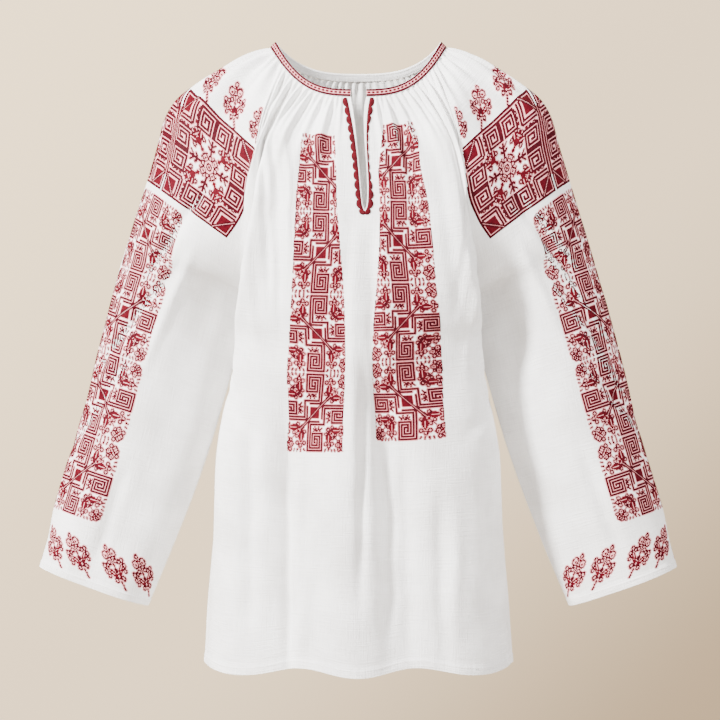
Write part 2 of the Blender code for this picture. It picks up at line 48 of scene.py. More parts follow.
# Cloth and sewing
WALL = 1.0 * MM
SEAM_GAP = 0.08 * MM
BAND_GAP = 0.2 * MM
ARMPIT_GAP = 0.2 * MM
ARMPIT_REACH = 0.06
SLOPE_STEP = 0.002
RING_STEP = 0.01
MITRE_LIMIT = 1.5
HEM_TURN = 8.5 * MM
HEM_STEP = 0.8 * MM
HEM_EXTRA = 0.5 * MM
HEM_MARGIN = 0.01 * MM
# Rows on the turned-up edge, as shares of it
HEM_ROWS = (1.0, 0.7, 0.4, 0.0)

# Neck ring, measured along the top edge of the band
NECK_HALF_WIDTH = 93.5 * MM
NECK_HALF_DEPTH = 65 * MM
NECK_CENTRE_Y = 5 * MM
NECK_DIP_FRONT = 60 * MM
NECK_DIP_BACK = 29 * MM
NECK_DIP_POWER = 3.3
BAND_HEIGHT = 10 * MM
BAND_MIDDLE_THICKNESS = 2.8 * MM
BAND_LEAN_MIDDLE = 0.4
BAND_LEAN_SIDE = 1.0
RAGLAN_ANGLE = math.radians(60)
RING_HOLD = 0.36

# Neck slit and its trim
SLIT_LENGTH = 136 * MM
SLIT_TOP_HALF_GAP = 8.5 * MM
SLIT_HALF_GAP = 4.0 * MM
SLIT_FLARE_LENGTH = 20 * MM
SLIT_END_POWER = 6
SLIT_DRIFT = 7 * MM
SLIT_SPREAD = 0.4
SLIT_CALM = 0.11
SLIT_CALM_LENGTH = 175 * MM
SLIT_CALM_FADE = 30 * MM
TRIM_WIDTH = 4.6 * MM
TRIM_SCALLOP = 1.7 * MM
TRIM_TOP = 1.2 * MM
TRIM_INSET_TOP = 4.5 * MM
TRIM_INSET_LOW = 1.2 * MM
TRIM_INSET_LENGTH = 45 * MM
TRIM_TURN_STEPS = 12
SCALLOPS_PER_SIDE = 12
STEPS_PER_SCALLOP = 14

# Cloth lengths, which turn a run into a drop below the neck band
YOKE_DROP = 290 * MM
BODY_DROP = 375 * MM
SLEEVE_DROP = 361 * MM

# Gathers under the neck band, each as deep as this either way
FRONT_GATHERS = 30
BACK_GATHERS = 26
SLEEVE_GATHERS = 12
GATHER_START = 0.5
GATHER_RISE = 8 * MM

# Shape of the rows
SQUARENESS = 2.4
DROOP_POWER = 3
SWELL_POWER = 1.6
SWELL_TIGHTNESS = 3.5
FOLD_FADE = 70 * MM
SEAM_CALM = 0.05

# Fine pleats under the band, shallower over the middle of a panel
MIDDLE_GATHER = 0.75
MIDDLE_REACH = 0.35
MIDDLE_FADE = 0.3
FINE_GATHER = 2.6 * MM
FINE_LENGTH = 42 * MM
FINE_FULLNESS = 0.8
UNEVEN = 0.25
UNEVEN_WAVES = 11.0
UNEVEN_TURN = 1.3
PAIR_EVENNESS = 1.6
WANDER = (
    # depth, waves across, turns of the phase
    (0.5, 6.3, 1.0),
    (0.3, 17.0, 2.1),
)
# The pleats that the fine ones join into further down
PLEATS = (
    # fine pleats in one, depth, rise, length, share of the wander, turns of the phase
    (2, 3.4, 22, 110, 0.6, 1),
    (4, 3.6, 60, 230, 1.7, 2),
)

# Creases waver a little. Low swells cover all the cloth, and their waves are radians to the metre.
CREASE_WAVER = 0.08
CREASE_WAVER_LENGTH = 14 * MM
SLACK_WIDE = (71, 11, 23)
SLACK_BEND = 2.0
SLACK_FINE = (128, 31, 47, 19)
SLACK_FINE_DEPTH = 0.6
SLACK_FINE_TURN = 1.7
SLACK_DEPTH = 0.5 * MM
HEM_PUCKER = 0.35 * MM
HEM_PUCKER_WIDTH = 2.5 * MM
HEM_PUCKER_PITCH = 9 * MM
HEM_PUCKER_EVEN = 0.6
HEM_SEWING = 7.6 * MM
# Length, space and width of the sewing stitches
HEM_STITCH = (2.4 * MM, 0.9 * MM, 0.7 * MM)
HEM_WAVE = 5 * MM
HEM_WAVE_RISE = 2.5 * MM
HEM_WAVE_LENGTH = 132 * MM
HEM_WAVE_HEIGHT = 150 * MM
HEM_WAVE_CALM = 0.12

# Grids
FRONT_HALF_COLUMNS = 125
BACK_COLUMNS = 216
SLEEVE_COLUMNS = 144
SLIT_ROW = 40
SLIT_GRADING = 1.35
YOKE_ROWS = 28
BODY_ROWS = 60
SLEEVE_ROWS = 58

# Embroidery
CELL = 1.24 * MM
TILES_PER_BAND = 4
FRONT_BAND_TOPS = (47 * MM, 34 * MM)
FRONT_TILE_LENGTH = 90.8 * MM
SQUARE_TOP = 96 * MM
SQUARE_SPREAD_TOP = 1.26
SQUARE_SPREAD_FOOT = 0.94
AXIS_HALF = 1.2 * MM
AXIS_LINE_INSET = 15
SLEEVE_EDGE = 1.8 * MM
SLEEVE_BAND_TOP = 212 * MM
SLEEVE_TILE_LENGTH = 89.3 * MM
SHOULDER_SPRIGS = (-146, -96, -46, 8, 58, 104)
CUFF_SPRIGS = (-129, -93, -49, -15, 28, 66, 104)
CUFF_SPRIG_RISE = 11 * MM

# Neck band
BAND_COLUMNS = 420
BAND_SECTION_POINTS = 20
BAND_ROUNDNESS = 0.55
BAND_RIPPLE = 0.06 * MM
BAND_CELL = 0.8 * MM
BAND_STITCHED = 9.0 * MM
BAND_ROWS = 11
BAND_REPEAT = 6
BAND_RIPPLES = 61
BAND_GIRTH = 0.026
BAND_SEWING_INSET = 1.6 * MM
BAND_STITCH = (2.0 * MM, 0.9 * MM, 0.6 * MM)

# Slit trim and the white picots beside it
TRIM_ACROSS = 8
TRIM_NECK = 1.0 * MM
TRIM_FOOT = 0.3 * MM
TRIM_RISE = 1.5 * MM
TRIM_RISE_LOW = 0.7 * MM
TRIM_STATION = 0.8 * MM
SCALLOP_FULLNESS = 0.6
TRIM_TUCK = 0.62
TRIM_TUCK_DROP = 68 * MM
TRIM_TUCK_LENGTH = 40 * MM
BEAD_FIRST = 4 * MM
BEAD_PITCH = 1.7 * MM
BEAD_REACH = 0.7 * MM
BEAD_RADIUS = 0.65 * MM
BEAD_LAST = 6 * MM
BEAD_SINK = 0.4
BEAD_RINGS = 5
BEAD_AROUND = 8

# Colours, linear
CLOTH_WHITE = (0.87, 0.865, 0.855)
CLOTH_SHADE = (0.68, 0.665, 0.65)
THREAD_PITCH = 0.6 * MM
SATIN_PITCH = 0.0006
CLOTH_ROUGHNESS = 0.88
CLOTH_SHEEN = 0.12
SEWING_ROUGHNESS = 0.6
SLUBS = ((700, 40, 1), (36, 620, 1))
LINE_DARK = (0.028, 0.0028, 0.0052)
LINE_LIGHT = (0.060, 0.0048, 0.0090)
FILL_DARK = (0.048, 0.0027, 0.0058)
FILL_LIGHT = (0.092, 0.0046, 0.0098)
TINT_DARK = (0.66, 0.23, 0.24)
TINT_LIGHT = (0.78, 0.34, 0.35)
FRONT_TINT_DARK = (0.50, 0.14, 0.15)
FRONT_TINT_LIGHT = (0.64, 0.23, 0.24)
SEWING_DARK = (0.72, 0.70, 0.67)
SEWING_LIGHT = (0.88, 0.87, 0.85)
# Satin colours: between them, painted shade in the grooves between strands and painted highlight along them,
# with the thread's uneven tone.
SATIN_DARK = (0.036, 0.0018, 0.0042)
SATIN_LIGHT = (0.100, 0.0038, 0.0082)
FLOOR_DARK = (0.50, 0.45, 0.40)
FLOOR_LIGHT = (0.60, 0.55, 0.49)

# Surroundings
FLOOR_RADIUS = 2.5
FLOOR_Z = -1.55
# The backdrop's colours are painted light and shade: painted light at the upper left, a middle tone, then
# painted shade in the lower right corner. The same colours also light the blouse from behind.
BACKDROP_LIGHT = (2.85, 2.20, 1.36)
BACKDROP_MIDDLE = (2.10, 1.60, 1.02)
BACKDROP_CORNER_SHADE = (0.87, 0.62, 0.37)
ROOM_LIGHT = (0.60, 0.54, 0.50)
BACKDROP_STRENGTH = 1.0
BACKDROP_REACH = 0.27
BACKDROP_MIDDLE_AT = 0.55
BACKDROP_AHEAD = (0.3, 0.98)
CAMERA_DISTANCE = 3.0
CAMERA_X = 1.7 * MM
CAMERA_Z = -363.5 * MM
VIEW_HALF_WIDTH = 411.5 * MM
LIGHTS = (
    # name, place, aimed at, size, power, colour
    ("key", (-2.6, -1.9, 1.7), (0, 0, -0.35), 0.6, 790.0, (1.0, 0.99, 0.985)),
    ("fill", (2.5, -2.0, 0.5), (0, 0, -0.35), 1.2, 104.0, (0.97, 0.98, 1.0)),
    ("top", (0.2, -1.2, 1.9), (0, 0, -0.2), 0.8, 56.0, (1.0, 0.97, 0.95)),
    ("back", (0.6, 2.6, 1.0), (0, 0, -0.3), 2.0, 60.0, (1.0, 0.98, 0.96)),
)


class Table:
    """Rows of sizes under named columns, read between them on smooth curves. The first column is the run."""

    def __init__(self, columns, *rows):
        self.columns = columns.split()
        self.rows = np.array(rows, float)

    def at(self, column, run):
        x = self.rows[:, 0]
        y = self.rows[:, self.columns.index(column)]
        slope = np.gradient(y, x)
        run = np.clip(run, x[0], x[-1])
        i = np.clip(np.searchsorted(x, run) - 1, 0, len(x) - 2)
        width = x[i + 1] - x[i]
        t = (run - x[i]) / width
        level = (2 * t**3 - 3 * t**2 + 1) * y[i] + (3 * t**2 - 2 * t**3) * y[i + 1]
        bend = (t**3 - 2 * t**2 + t) * slope[i] + (t**3 - t**2) * slope[i + 1]
        return (level + width * bend) * MM


# Raglan seams from the neck to the armpit, then the side seam down to the hem, at +X
SEAM = Table(
    "run x z front_y back_y",
    (0.00, 88, -30, 31, 41),
    (0.19, 106, -86, 70, 64),
    (0.36, 115, -138, 84, 78),
    (0.52, 120, -186, 88, 82),
    (0.66, 124, -230, 80, 75),
    (0.79, 126, -266, 60, 57),
    (0.90, 123, -290, 31, 30),
    (1.00, 118, -300, 0, 0),
    (1.04, 117, -316, 0, 0),
    (1.10, 120, -341, 0, 0),
    (1.22, 132, -389, 0, 0),
    (1.36, 149, -446, 0, 0),
    (1.50, 159, -503, 0, 0),
    (1.66, 165, -569, 0, 0),
    (1.83, 171, -639, 0, 0),
    (2.00, 175, -709, 0, 0),
)

# The middle line of the front and of the back, and how far each panel swells out beside the arm
MIDDLE = Table(
    "run front_y front_z back_y back_z swell",
    (0.00, 64, -70, 74, -39, 0),
    (0.19, 86, -121, 91, -92, 4),
    (0.36, 102, -168, 101, -141, 6),
    (0.52, 113, -213, 107, -189, 8),
    (0.66, 119, -254, 110, -230, 11),
    (0.79, 122, -292, 112, -268, 16),
    (0.90, 124, -323, 113, -300, 24),
    (1.00, 126, -351, 114, -329, 31),
    (1.10, 127, -386, 115, -366, 33),
    (1.22, 128, -429, 117, -411, 27),
    (1.36, 130, -479, 119, -463, 18),
    (1.50, 132, -529, 123, -515, 10),
    (1.66, 135, -586, 128, -576, 4),
    (1.83, 139, -647, 134, -642, 0),
    (2.00, 142, -708, 140, -709, 0),
)

# The sleeve's outer line, from the neck over the shoulder to the cuff
OUTER = Table(
    "run x y z",
    (0.00, 102, 5, -7),
    (0.12, 137, 5, -19),
    (0.21, 162, 5, -34),
    (0.30, 184, 5, -48),
    (0.39, 208, 4, -67),
    (0.47, 220, 3, -87),
    (0.56, 228, 2, -116),
    (0.71, 241, 1, -160),
    (0.86, 255, 0, -203),
    (1.00, 268, 0, -246),
    (1.14, 282, -2, -296),
    (1.28, 296, -5, -350),
    (1.46, 312, -9, -418),
    (1.60, 326, -13, -470),
    (1.76, 341, -18, -527),
    (1.90, 352, -22, -568),
    (2.00, 360, -25, -597),
)

# The sleeve's under line and its half depth. In thousandths, how far round the arm its edges lie, as a share
# of half a turn, and how far the cloth is pinched to a point along the under line.
UNDER = Table(
    "run x z half_depth reach pinch",
    (0.00, 118, -300, 40, 333, 0),
    (0.20, 118, -300, 56, 400, 0),
    (0.40, 118, -300, 68, 490, 0),
    (0.60, 118, -300, 74, 590, 40),
    (0.80, 118, -300, 71, 730, 120),
    (0.90, 118, -300, 67, 840, 170),
    (1.00, 118, -300, 63, 1000, 170),
    (1.05, 127, -317, 62, 1000, 150),
    (1.14, 137, -350, 61, 1000, 110),
    (1.28, 151, -400, 60, 1000, 60),
    (1.46, 169, -461, 57, 1000, 30),
    (1.60, 187, -513, 54, 1000, 10),
    (1.76, 208, -567, 50, 1000, 0),
    (1.90, 226, -611, 46, 1000, 0),
    (2.00, 239, -641, 43, 1000, 0),
)

# Soft folds. Each drifts across from one place to another between two drops below the neck band. The drops
# and the depth are millimetres, the width is a share of the half panel, and a depth below zero is a trough.
FRONT_FOLDS = (
    # from across, to across, from drop, to drop, width, depth
    (-0.88, -0.86, 5, 330, 0.050, 2.6),
    (-0.76, -0.75, 0, 340, 0.045, -3.5),
    (-0.63, -0.65, 5, 300, 0.050, 3.0),
    (-0.50, -0.53, 5, 280, 0.045, -2.8),
    (-0.27, -0.26, 15, 340, 0.070, -3.2),
    (-0.13, -0.11, 30, 260, 0.050, 2.6),
    (0.12, 0.10, 30, 260, 0.050, 2.8),
    (0.26, 0.24, 15, 330, 0.060, -2.8),
    (0.50, 0.53, 0, 280, 0.045, -3.2),
    (0.62, 0.65, 5, 330, 0.050, 3.4),
    (0.74, 0.77, 0, 340, 0.045, -3.6),
    (0.87, 0.88, 5, 330, 0.050, 2.8),
    (-0.33, -0.28, 310, 990, 0.16, -15.0),
    (0.13, 0.27, 290, 990, 0.16, -15.0),
    (-0.57, -0.53, 330, 990, 0.18, 6.0),
    (-0.05, -0.01, 320, 990, 0.17, 6.0),
    (0.50, 0.59, 330, 990, 0.18, 6.0),
)
BACK_FOLDS = (
    # from across, to across, from drop, to drop, width, depth
    (-0.86, -0.84, 5, 330, 0.050, 2.8),
    (-0.72, -0.70, 0, 340, 0.045, -3.4),
    (-0.55, -0.57, 5, 290, 0.055, 2.8),
    (-0.38, -0.36, 5, 320, 0.050, -2.8),
    (-0.20, -0.17, 10, 270, 0.055, 2.6),
    (0.02, 0.03, 10, 340, 0.055, -3.2),
    (0.21, 0.20, 5, 280, 0.050, 2.8),
    (0.40, 0.43, 5, 330, 0.050, -3.0),
    (0.58, 0.60, 5, 290, 0.055, 3.0),
    (0.74, 0.73, 0, 340, 0.045, -3.4),
    (0.88, 0.87, 5, 330, 0.050, 2.8),
    (-0.44, -0.42, 310, 990, 0.15, -13.0),
    (0.06, 0.02, 320, 990, 0.16, -14.0),
    (0.47, 0.45, 310, 990, 0.15, -12.0),
    (-0.70, -0.67, 330, 990, 0.15, 5.0),
    (-0.20, -0.20, 330, 990, 0.16, 6.0),
    (0.25, 0.24, 330, 990, 0.16, 6.0),
    (0.70, 0.68, 330, 990, 0.15, 5.0),
)
LEFT_SLEEVE_FOLDS = (
    # from across, to across, from drop, to drop, width, depth
    (-0.76, -0.60, 5, 260, 0.10, -3.6),
    (-0.48, -0.40, 5, 210, 0.11, 2.6),
    (0.34, 0.30, 5, 230, 0.11, -3.0),
    (0.68, 0.54, 5, 260, 0.10, -3.4),
    (-0.82, -0.58, 230, 720, 0.13, -6.0),
    (0.72, 0.48, 240, 720, 0.13, -5.5),
)
RIGHT_SLEEVE_FOLDS = (
    # from across, to across, from drop, to drop, width, depth
    (-0.72, -0.56, 5, 240, 0.10, -3.6),
    (-0.45, -0.37, 5, 200, 0.11, 2.6),
    (0.30, 0.28, 5, 230, 0.11, -3.0),
    (0.70, 0.56, 5, 250, 0.10, -3.4),
    (-0.72, -0.46, 240, 720, 0.14, -6.0),
    (0.76, 0.52, 250, 720, 0.13, -5.5),
)

# Edges of the front's two embroidered bands, as thousandths of the half panel
FRONT_BAND = Table(
    "drop left_out left_middle left_in right_in right_middle right_out cell",
    (34, -415, -275, -190, 195, 293, 435, 6.2),
    (48, -405, -262, -172, 172, 275, 425, 5.6),
    (84, -375, -222, -142, 128, 237, 390, 4.9),
    (130, -372, -213, -127, 124, 230, 412, 4.5),
    (174, -365, -210, -105, 118, 225, 418, 4.6),
    (225, -362, -222, -82, 98, 240, 420, 4.6),
    (265, -375, -236, -77, 85, 255, 435, 4.6),
    (317, -392, -240, -80, 85, 265, 443, 4.6),
    (363, -380, -242, -80, 93, 273, 425, 4.35),
    (408, -367, -225, -75, 93, 253, 406, 4.0),
)

# The line that the sleeve's embroidery is centred on, as thousandths of the half panel
SLEEVE_AXIS = Table(
    "run across",
    (0.00, -40),
    (0.20, -70),
    (0.33, -150),
    (0.40, -270),
    (0.48, -345),
    (0.60, -355),
    (0.72, -330),
    (0.88, -285),
    (1.16, -253),
    (1.40, -232),
    (1.64, -220),
    (2.00, -210),
)

# Small soft creases on the flat cloth, beside the main folds
FRONT_CREASES = (
    # aside, down, lean in degrees, half length, half width, depth
    (-150, 150, 4, 90, 5, -2.5),
    (-128, 195, 6, 105, 6, 2.8),
    (-104, 120, 3, 70, 4.5, -2.0),
    (-112, 135, 6, 100, 5, -4.2),
    (-97, 150, 4, 110, 5, -4.0),
    (-86, 120, 3, 70, 4, 2.6),
    (-30, 310, -1, 120, 9, -2.9),
    (-6, 350, 2, 100, 10, 1.9),
    (14, 250, 1, 70, 7, -1.7),
    (118, 150, -5, 90, 5, -2.5),
    (139, 205, -6, 110, 6, 2.9),
    (160, 265, -8, 85, 6, -2.5),
    (-172, 322, 38, 45, 7, -3.5),
    (-152, 368, 54, 40, 8, -2.5),
    (173, 330, -36, 48, 7, -3.5),
    (150, 378, -57, 38, 8, -2.5),
    (-112, 520, 3, 90, 10, -2.9),
    (-58, 570, -4, 75, 9, 2.5),
    (46, 545, 3, 90, 10, -2.5),
    (106, 565, -3, 80, 9, 2.8),
    (152, 515, 5, 70, 8, -2.4),
    (-84, 530, 1, 150, 9, -10.3),
    (-70, 540, 0, 130, 10, 4.1),
    (-110, 500, 0, 120, 10, 4.6),
    (-128, 500, 0, 110, 8, -5.4),
    (4, 450, -1, 120, 6, -5.4),
    (34, 500, 0, 140, 11, -7.4),
    (57, 525, 2, 120, 9, -4.6),
    (-17, 290, 0, 120, 7, -3.7),
    (20, 330, 2, 120, 8, -3.7),
    (96, 560, 2, 100, 9, -5.4),
)
BACK_CREASES = (
    # aside, down, lean in degrees, half length, half width, depth
    (-146, 170, 5, 85, 5, -2.8),
    (-118, 140, 3, 100, 6, 2.6),
    (-84, 190, -2, 80, 5, -2.2),
    (-40, 230, 2, 110, 8, -2.6),
    (6, 160, -1, 80, 6, 2.4),
    (38, 290, 1, 120, 9, -2.8),
    (92, 150, -3, 90, 5, -2.4),
    (126, 200, -6, 100, 6, 3.0),
    (156, 250, -7, 80, 6, -2.6),
    (-170, 330, 42, 44, 7, -3.5),
    (168, 324, -40, 47, 7, -3.7),
    (-146, 380, 58, 36, 8, -2.4),
    (-96, 540, -3, 85, 10, -3.0),
    (-20, 500, 2, 70, 9, 2.4),
    (60, 560, -3, 80, 9, -2.6),
    (128, 530, 4, 85, 10, 2.8),
)
LEFT_SLEEVE_CREASES = (
    # aside, down, lean in degrees, half length, half width, depth
    (-86, 250, 22, 70, 6, -5.7),
    (-70, 330, 26, 80, 7, -5.1),
    (-108, 300, 12, 60, 6, 4.3),
    (-52, 420, 34, 60, 8, -4.1),
    (20, 400, -18, 70, 8, -3.9),
    (58, 300, -24, 80, 7, -5.4),
    (88, 250, -18, 60, 6, -4.7),
    (-20, 520, 12, 70, 9, 3.5),
    (64, 500, -14, 80, 8, -3.9),
    (-92, 540, 8, 70, 8, -3.9),
    (110, 450, -6, 90, 9, 3.9),
)
RIGHT_SLEEVE_CREASES = (
    # aside, down, lean in degrees, half length, half width, depth
    (-90, 240, 18, 65, 6, -5.8),
    (-66, 345, 30, 75, 7, -5.8),
    (-104, 320, 10, 70, 6, 4.6),
    (-44, 440, 28, 65, 8, -4.2),
    (26, 380, -22, 65, 8, -4.3),
    (62, 320, -20, 75, 7, -5.5),
    (94, 260, -14, 60, 6, -5.5),
    (-12, 540, 10, 60, 9, 3.3),
    (70, 520, -12, 80, 8, -4.3),
    (-88, 560, 6, 60, 8, -3.8),
    (104, 430, -8, 90, 9, 4.3),
)


def unit(v):
    return v / np.linalg.norm(v, axis=-1, keepdims=True)


def points_of(x, y, z):
    return np.stack(np.broadcast_arrays(x, y, z), axis=-1)


def reach_along(path):
    """Length along a path up to each of its points."""
    return np.concatenate([[0], np.cumsum(np.linalg.norm(np.diff(path, axis=0), axis=1))])


def eased(t):
    t = np.clip(t, 0, 1)
    return t * t * (3 - 2 * t)


def ring(angle, height):
    """The neck band's middle surface: angle from the front towards +X, height down from its top edge."""
    side, ahead = np.sin(angle), np.cos(angle)
    dip = np.where(ahead > 0, NECK_DIP_FRONT, NECK_DIP_BACK) * (1 - np.abs(side) ** NECK_DIP_POWER)
    top = points_of(NECK_HALF_WIDTH * side, NECK_CENTRE_Y - NECK_HALF_DEPTH * ahead, -dip)
    lean = BAND_LEAN_MIDDLE + (BAND_LEAN_SIDE - BAND_LEAN_MIDDLE) * side**2
    return top + np.asarray(height)[..., None] * unit(points_of(lean * side, -lean * ahead, -1.0))


def ring_outward(angle):
    along = ring(angle + RING_STEP, 0.0) - ring(angle - RING_STEP, 0.0)
    down = ring(angle, 1.0) - ring(angle, 0.0)
    return unit(np.cross(down, along))


def hold_at_ring(run, points, first_points, angle):
    """Row 0 moves onto the neck ring, just under the band, and the rows below it follow less and less."""
    share = ((1 - np.clip(run / RING_HOLD, 0, 1)) ** 2)[..., None]
    return points + share * (ring(angle, BAND_HEIGHT + BAND_GAP) - first_points)


def panel_rows(run, across, name):
    """The front or back by its tables alone, facing +Y."""
    size = np.abs(across)
    turn = np.pi / 2 * size
    reach = (np.abs(np.sin(turn)) ** SQUARENESS + np.abs(np.cos(turn)) ** SQUARENESS) ** (-1 / SQUARENESS)
    swell = MIDDLE.at("swell", run) * np.sin(np.pi * size**SWELL_POWER) ** SWELL_TIGHTNESS
    x = np.sign(across) * (SEAM.at("x", run) * np.sin(turn) * reach + swell)
    seam_y, middle_y = SEAM.at(f"{name}_y", run), MIDDLE.at(f"{name}_y", run)
    seam_z, middle_z = SEAM.at("z", run), MIDDLE.at(f"{name}_z", run)
    y = seam_y + (middle_y - seam_y) * np.cos(turn) * reach
    return points_of(x, y, middle_z + (seam_z - middle_z) * size**DROOP_POWER)


def front_shape(run, across):
    mirror = np.array((1, -1, 1))
    rows = panel_rows(run, across, "front") * mirror
    first = panel_rows(np.zeros_like(run), across, "front") * mirror
    return hold_at_ring(run, rows, first, RAGLAN_ANGLE * across)


def back_shape(run, across):
    rows = panel_rows(run, across, "back")
    first = panel_rows(np.zeros_like(run), across, "back")
    return hold_at_ring(run, rows, first, np.pi - RAGLAN_ANGLE * across)


def sleeve_rows(run, across):
    """The sleeve at +X by its tables alone. It goes round the arm from its front seam to its back seam."""
    outer = points_of(OUTER.at("x", run), OUTER.at("y", run), OUTER.at("z", run))
    y = np.where(across < 0, -SEAM.at("front_y", run), SEAM.at("back_y", run))
    seam = points_of(SEAM.at("x", run), y, SEAM.at("z", run))
    under = points_of(UNDER.at("x", run), outer[..., 1], UNDER.at("z", run))
    end = np.where((run > 1)[..., None], under, seam)
    reach = np.pi * UNDER.at("reach", run)
    turn = reach * across
    share = (np.cos(turn) - np.cos(reach)) / (1 - np.cos(reach))
    pinch = UNDER.at("pinch", run) * np.maximum(np.abs(np.sin(turn)) - np.sin(reach), 0)
    depth = UNDER.at("half_depth", run)
    miss = end[..., 1] - outer[..., 1] - np.sign(across) * depth * np.sin(reach)
    rows = end + (share + pinch * (1 - share))[..., None] * (outer - end)
    rows[..., 1] = outer[..., 1] + depth * np.sin(turn) + miss * (1 - share) ** 2
    return rows


def left_sleeve_shape(run, across):
    first = sleeve_rows(np.zeros_like(run), across)
    angle = np.pi / 2 + (np.pi / 2 - RAGLAN_ANGLE) * across
    return hold_at_ring(run, sleeve_rows(run, across), first, angle)


def right_sleeve_shape(run, across):
    return left_sleeve_shape(run, across) * np.array((-1, 1, 1))


def drop_of(run, lower_drop):
    """Length of cloth below the neck band, with lower_drop from the armpit to the panel's end."""
    return np.clip(run, 0, 1) * YOKE_DROP + np.clip(run - 1, 0, 1) * lower_drop


def folds(table, across, drop):
    total = np.zeros_like(drop)
    for from_across, to_across, from_drop, to_drop, width, depth in table:
        start, end = from_drop * MM, to_drop * MM
        centre = from_across + (to_across - from_across) * np.clip((drop - start) / (end - start), 0, 1)
        ends = eased((drop - start) / FOLD_FADE) * eased((end - drop) / FOLD_FADE)
        total += depth * MM * ends * np.exp(-(((across - centre) / width) ** 2))
    return total


def slit_half_gap(drop):
    """Half the distance between the slit's two edges."""
    still_open = np.sqrt(np.clip(1 - (drop / SLIT_LENGTH) ** SLIT_END_POWER, 0, 1))
    flare = (SLIT_TOP_HALF_GAP - SLIT_HALF_GAP) * np.exp(-drop / SLIT_FLARE_LENGTH)
    return (SLIT_HALF_GAP + flare) * still_open


def seam_gap(run):
    """The gap between two sewn edges, a little wider where four of them meet."""
    return SEAM_GAP + (ARMPIT_GAP - SEAM_GAP) * np.exp(-(((run - 1) / ARMPIT_REACH) ** 2))


def sew(a, a_column, b, b_column, rows):
    """Mitre two edges where they are sewn and leave the seam's gap. Returns the way into the first sheet."""
    edge = a.points[rows, a_column]
    shared = unit(a.out[rows, a_column] + b.out[rows, b_column])
    stretch = 1 / np.maximum(np.sum(shared * a.out[rows, a_column], axis=-1), 1 / MITRE_LIMIT)
    into = unit(np.cross(shared, np.gradient(edge, axis=0)))
    next_column = 1 if a_column == 0 else -2
    sign = np.sign(np.sum(into * (a.points[rows, next_column] - edge), axis=-1))
    into = into * sign[:, None]
    half_gap = seam_gap(a.run[rows, a_column])[:, None] / 2
    a.points[rows, a_column] += into * half_gap
    b.points[rows, b_column] -= into * half_gap
    a.out[rows, a_column] = shared * stretch[:, None]
    b.out[rows, b_column] = shared * stretch[:, None]
    return into


def sew_armhole(front, back, sleeve, column):
    """Sew the two raglan seams, the side seam and the sleeve's own seam, which all meet at the armpit."""
    corner = ((front, column), (back, column), (sleeve, 0), (sleeve, -1))
    shared = unit(sum(sheet.out[ARMPIT_ROW, edge] for sheet, edge in corner))
    above = slice(0, ARMPIT_ROW)
    below = slice(ARMPIT_ROW + 1, None)
    front_raglan = sew(front, column, sleeve, 0, above)[-1]
    back_raglan = sew(back, column, sleeve, -1, above)[-1]
    side = sew(front, column, back, column, below)[0]
    under = sew(sleeve, 0, sleeve, -1, below)[0]
    moves = (front_raglan + side, back_raglan - side, under - front_raglan, -under - back_raglan)
    for (sheet, edge), move in zip(corner, moves):
        sheet.points[ARMPIT_ROW, edge] += move * ARMPIT_GAP / 2
        sheet.out[ARMPIT_ROW, edge] = shared


# Charts of counted stitches. A cell is bare, a dark line, a red filling or cloth tinted by stitches near it.
BARE, LINE, FILL, TINT = 0, 1, 2, 3
TINTING_NEIGHBOURS = 2
TILE_HALF = 44
SQUARE_HALF = 44
SPRIG_HALF_WIDTH = 30
SPRIG_HALF_HEIGHT = 26
SPRIG_FOOT = (-16, 15)
SHOULDER_SPRIG_WAYS = ((0.66, 0.48), (0.88, -0.88))
CUFF_SPRIG_WAYS = ((0.58, 0.45), (0.78, -0.98))
LINE_WIDTH = 1.7
FINE_WIDTH = 1.3
DASH_WIDTH = 1.6
DOUBLE_APART = 1.06
DOUBLE_WIDTH = 0.8
LEAF_DOTS = 9
LEAF_BLUNT = 0.12
LEAF_SPAN = 0.8
LEAF_FULLNESS = 0.8
VEIN_START = 0.3
VEIN_WIDTH = 0.9

# The tile's upper key: two lines that leave the middle frame and wind into each other, with ticks between
TILE_KEYS = (
    (
        (6, -10), (-6, -10), (-8, -12), (-8, -42), (11, -42), (11, -23),
        (-2, -23), (-2, -36), (5, -36), (5, -29), (3, -29),
    ),
    ((4, -13), (-5, -13), (-5, -39), (8, -39), (8, -26), (1, -26), (1, -33), (2, -33)),
    ((4, -13), (13, -13), (13, -7)),
)
TILE_TICKS = (((1, -15.6), (3, -20.6)), ((6, -15.8), (7.6, -20.6)))

# Half of the flower between two arms of the tile, above the corner's diagonal
CORNER_RINGS = (
    # x, y, radius
    (-12.9, -21.4, 1.8),
    (-12.6, -33.6, 1.9),
    (-21.6, -33.4, 1.9),
    (-17.2, -36.4, 1.9),
    (-22.2, -26.0, 1.6),
    (-29.6, -34.8, 2.6),
    (-36.6, -38.4, 2.8),
    (-31.6, -40.4, 1.8),
    (-30.4, -30.4, 1.6),
)
CORNER_DOTS = (
    # x, y, radius
    (-20.4, -20.4, 1.5),
    (-36.6, -38.4, 0.8),
    (-29.6, -34.8, 0.8),
    (-34.0, -34.0, 1.2),
)
CORNER_DASHES = (
    ((-26.0, -42.6), (-25.0, -40.2)),
    ((-21.4, -42.8), (-21.0, -40.4)),
    ((-16.4, -42.8), (-16.8, -40.6)),
    ((-11.4, -42.4), (-12.8, -40.2)),
)

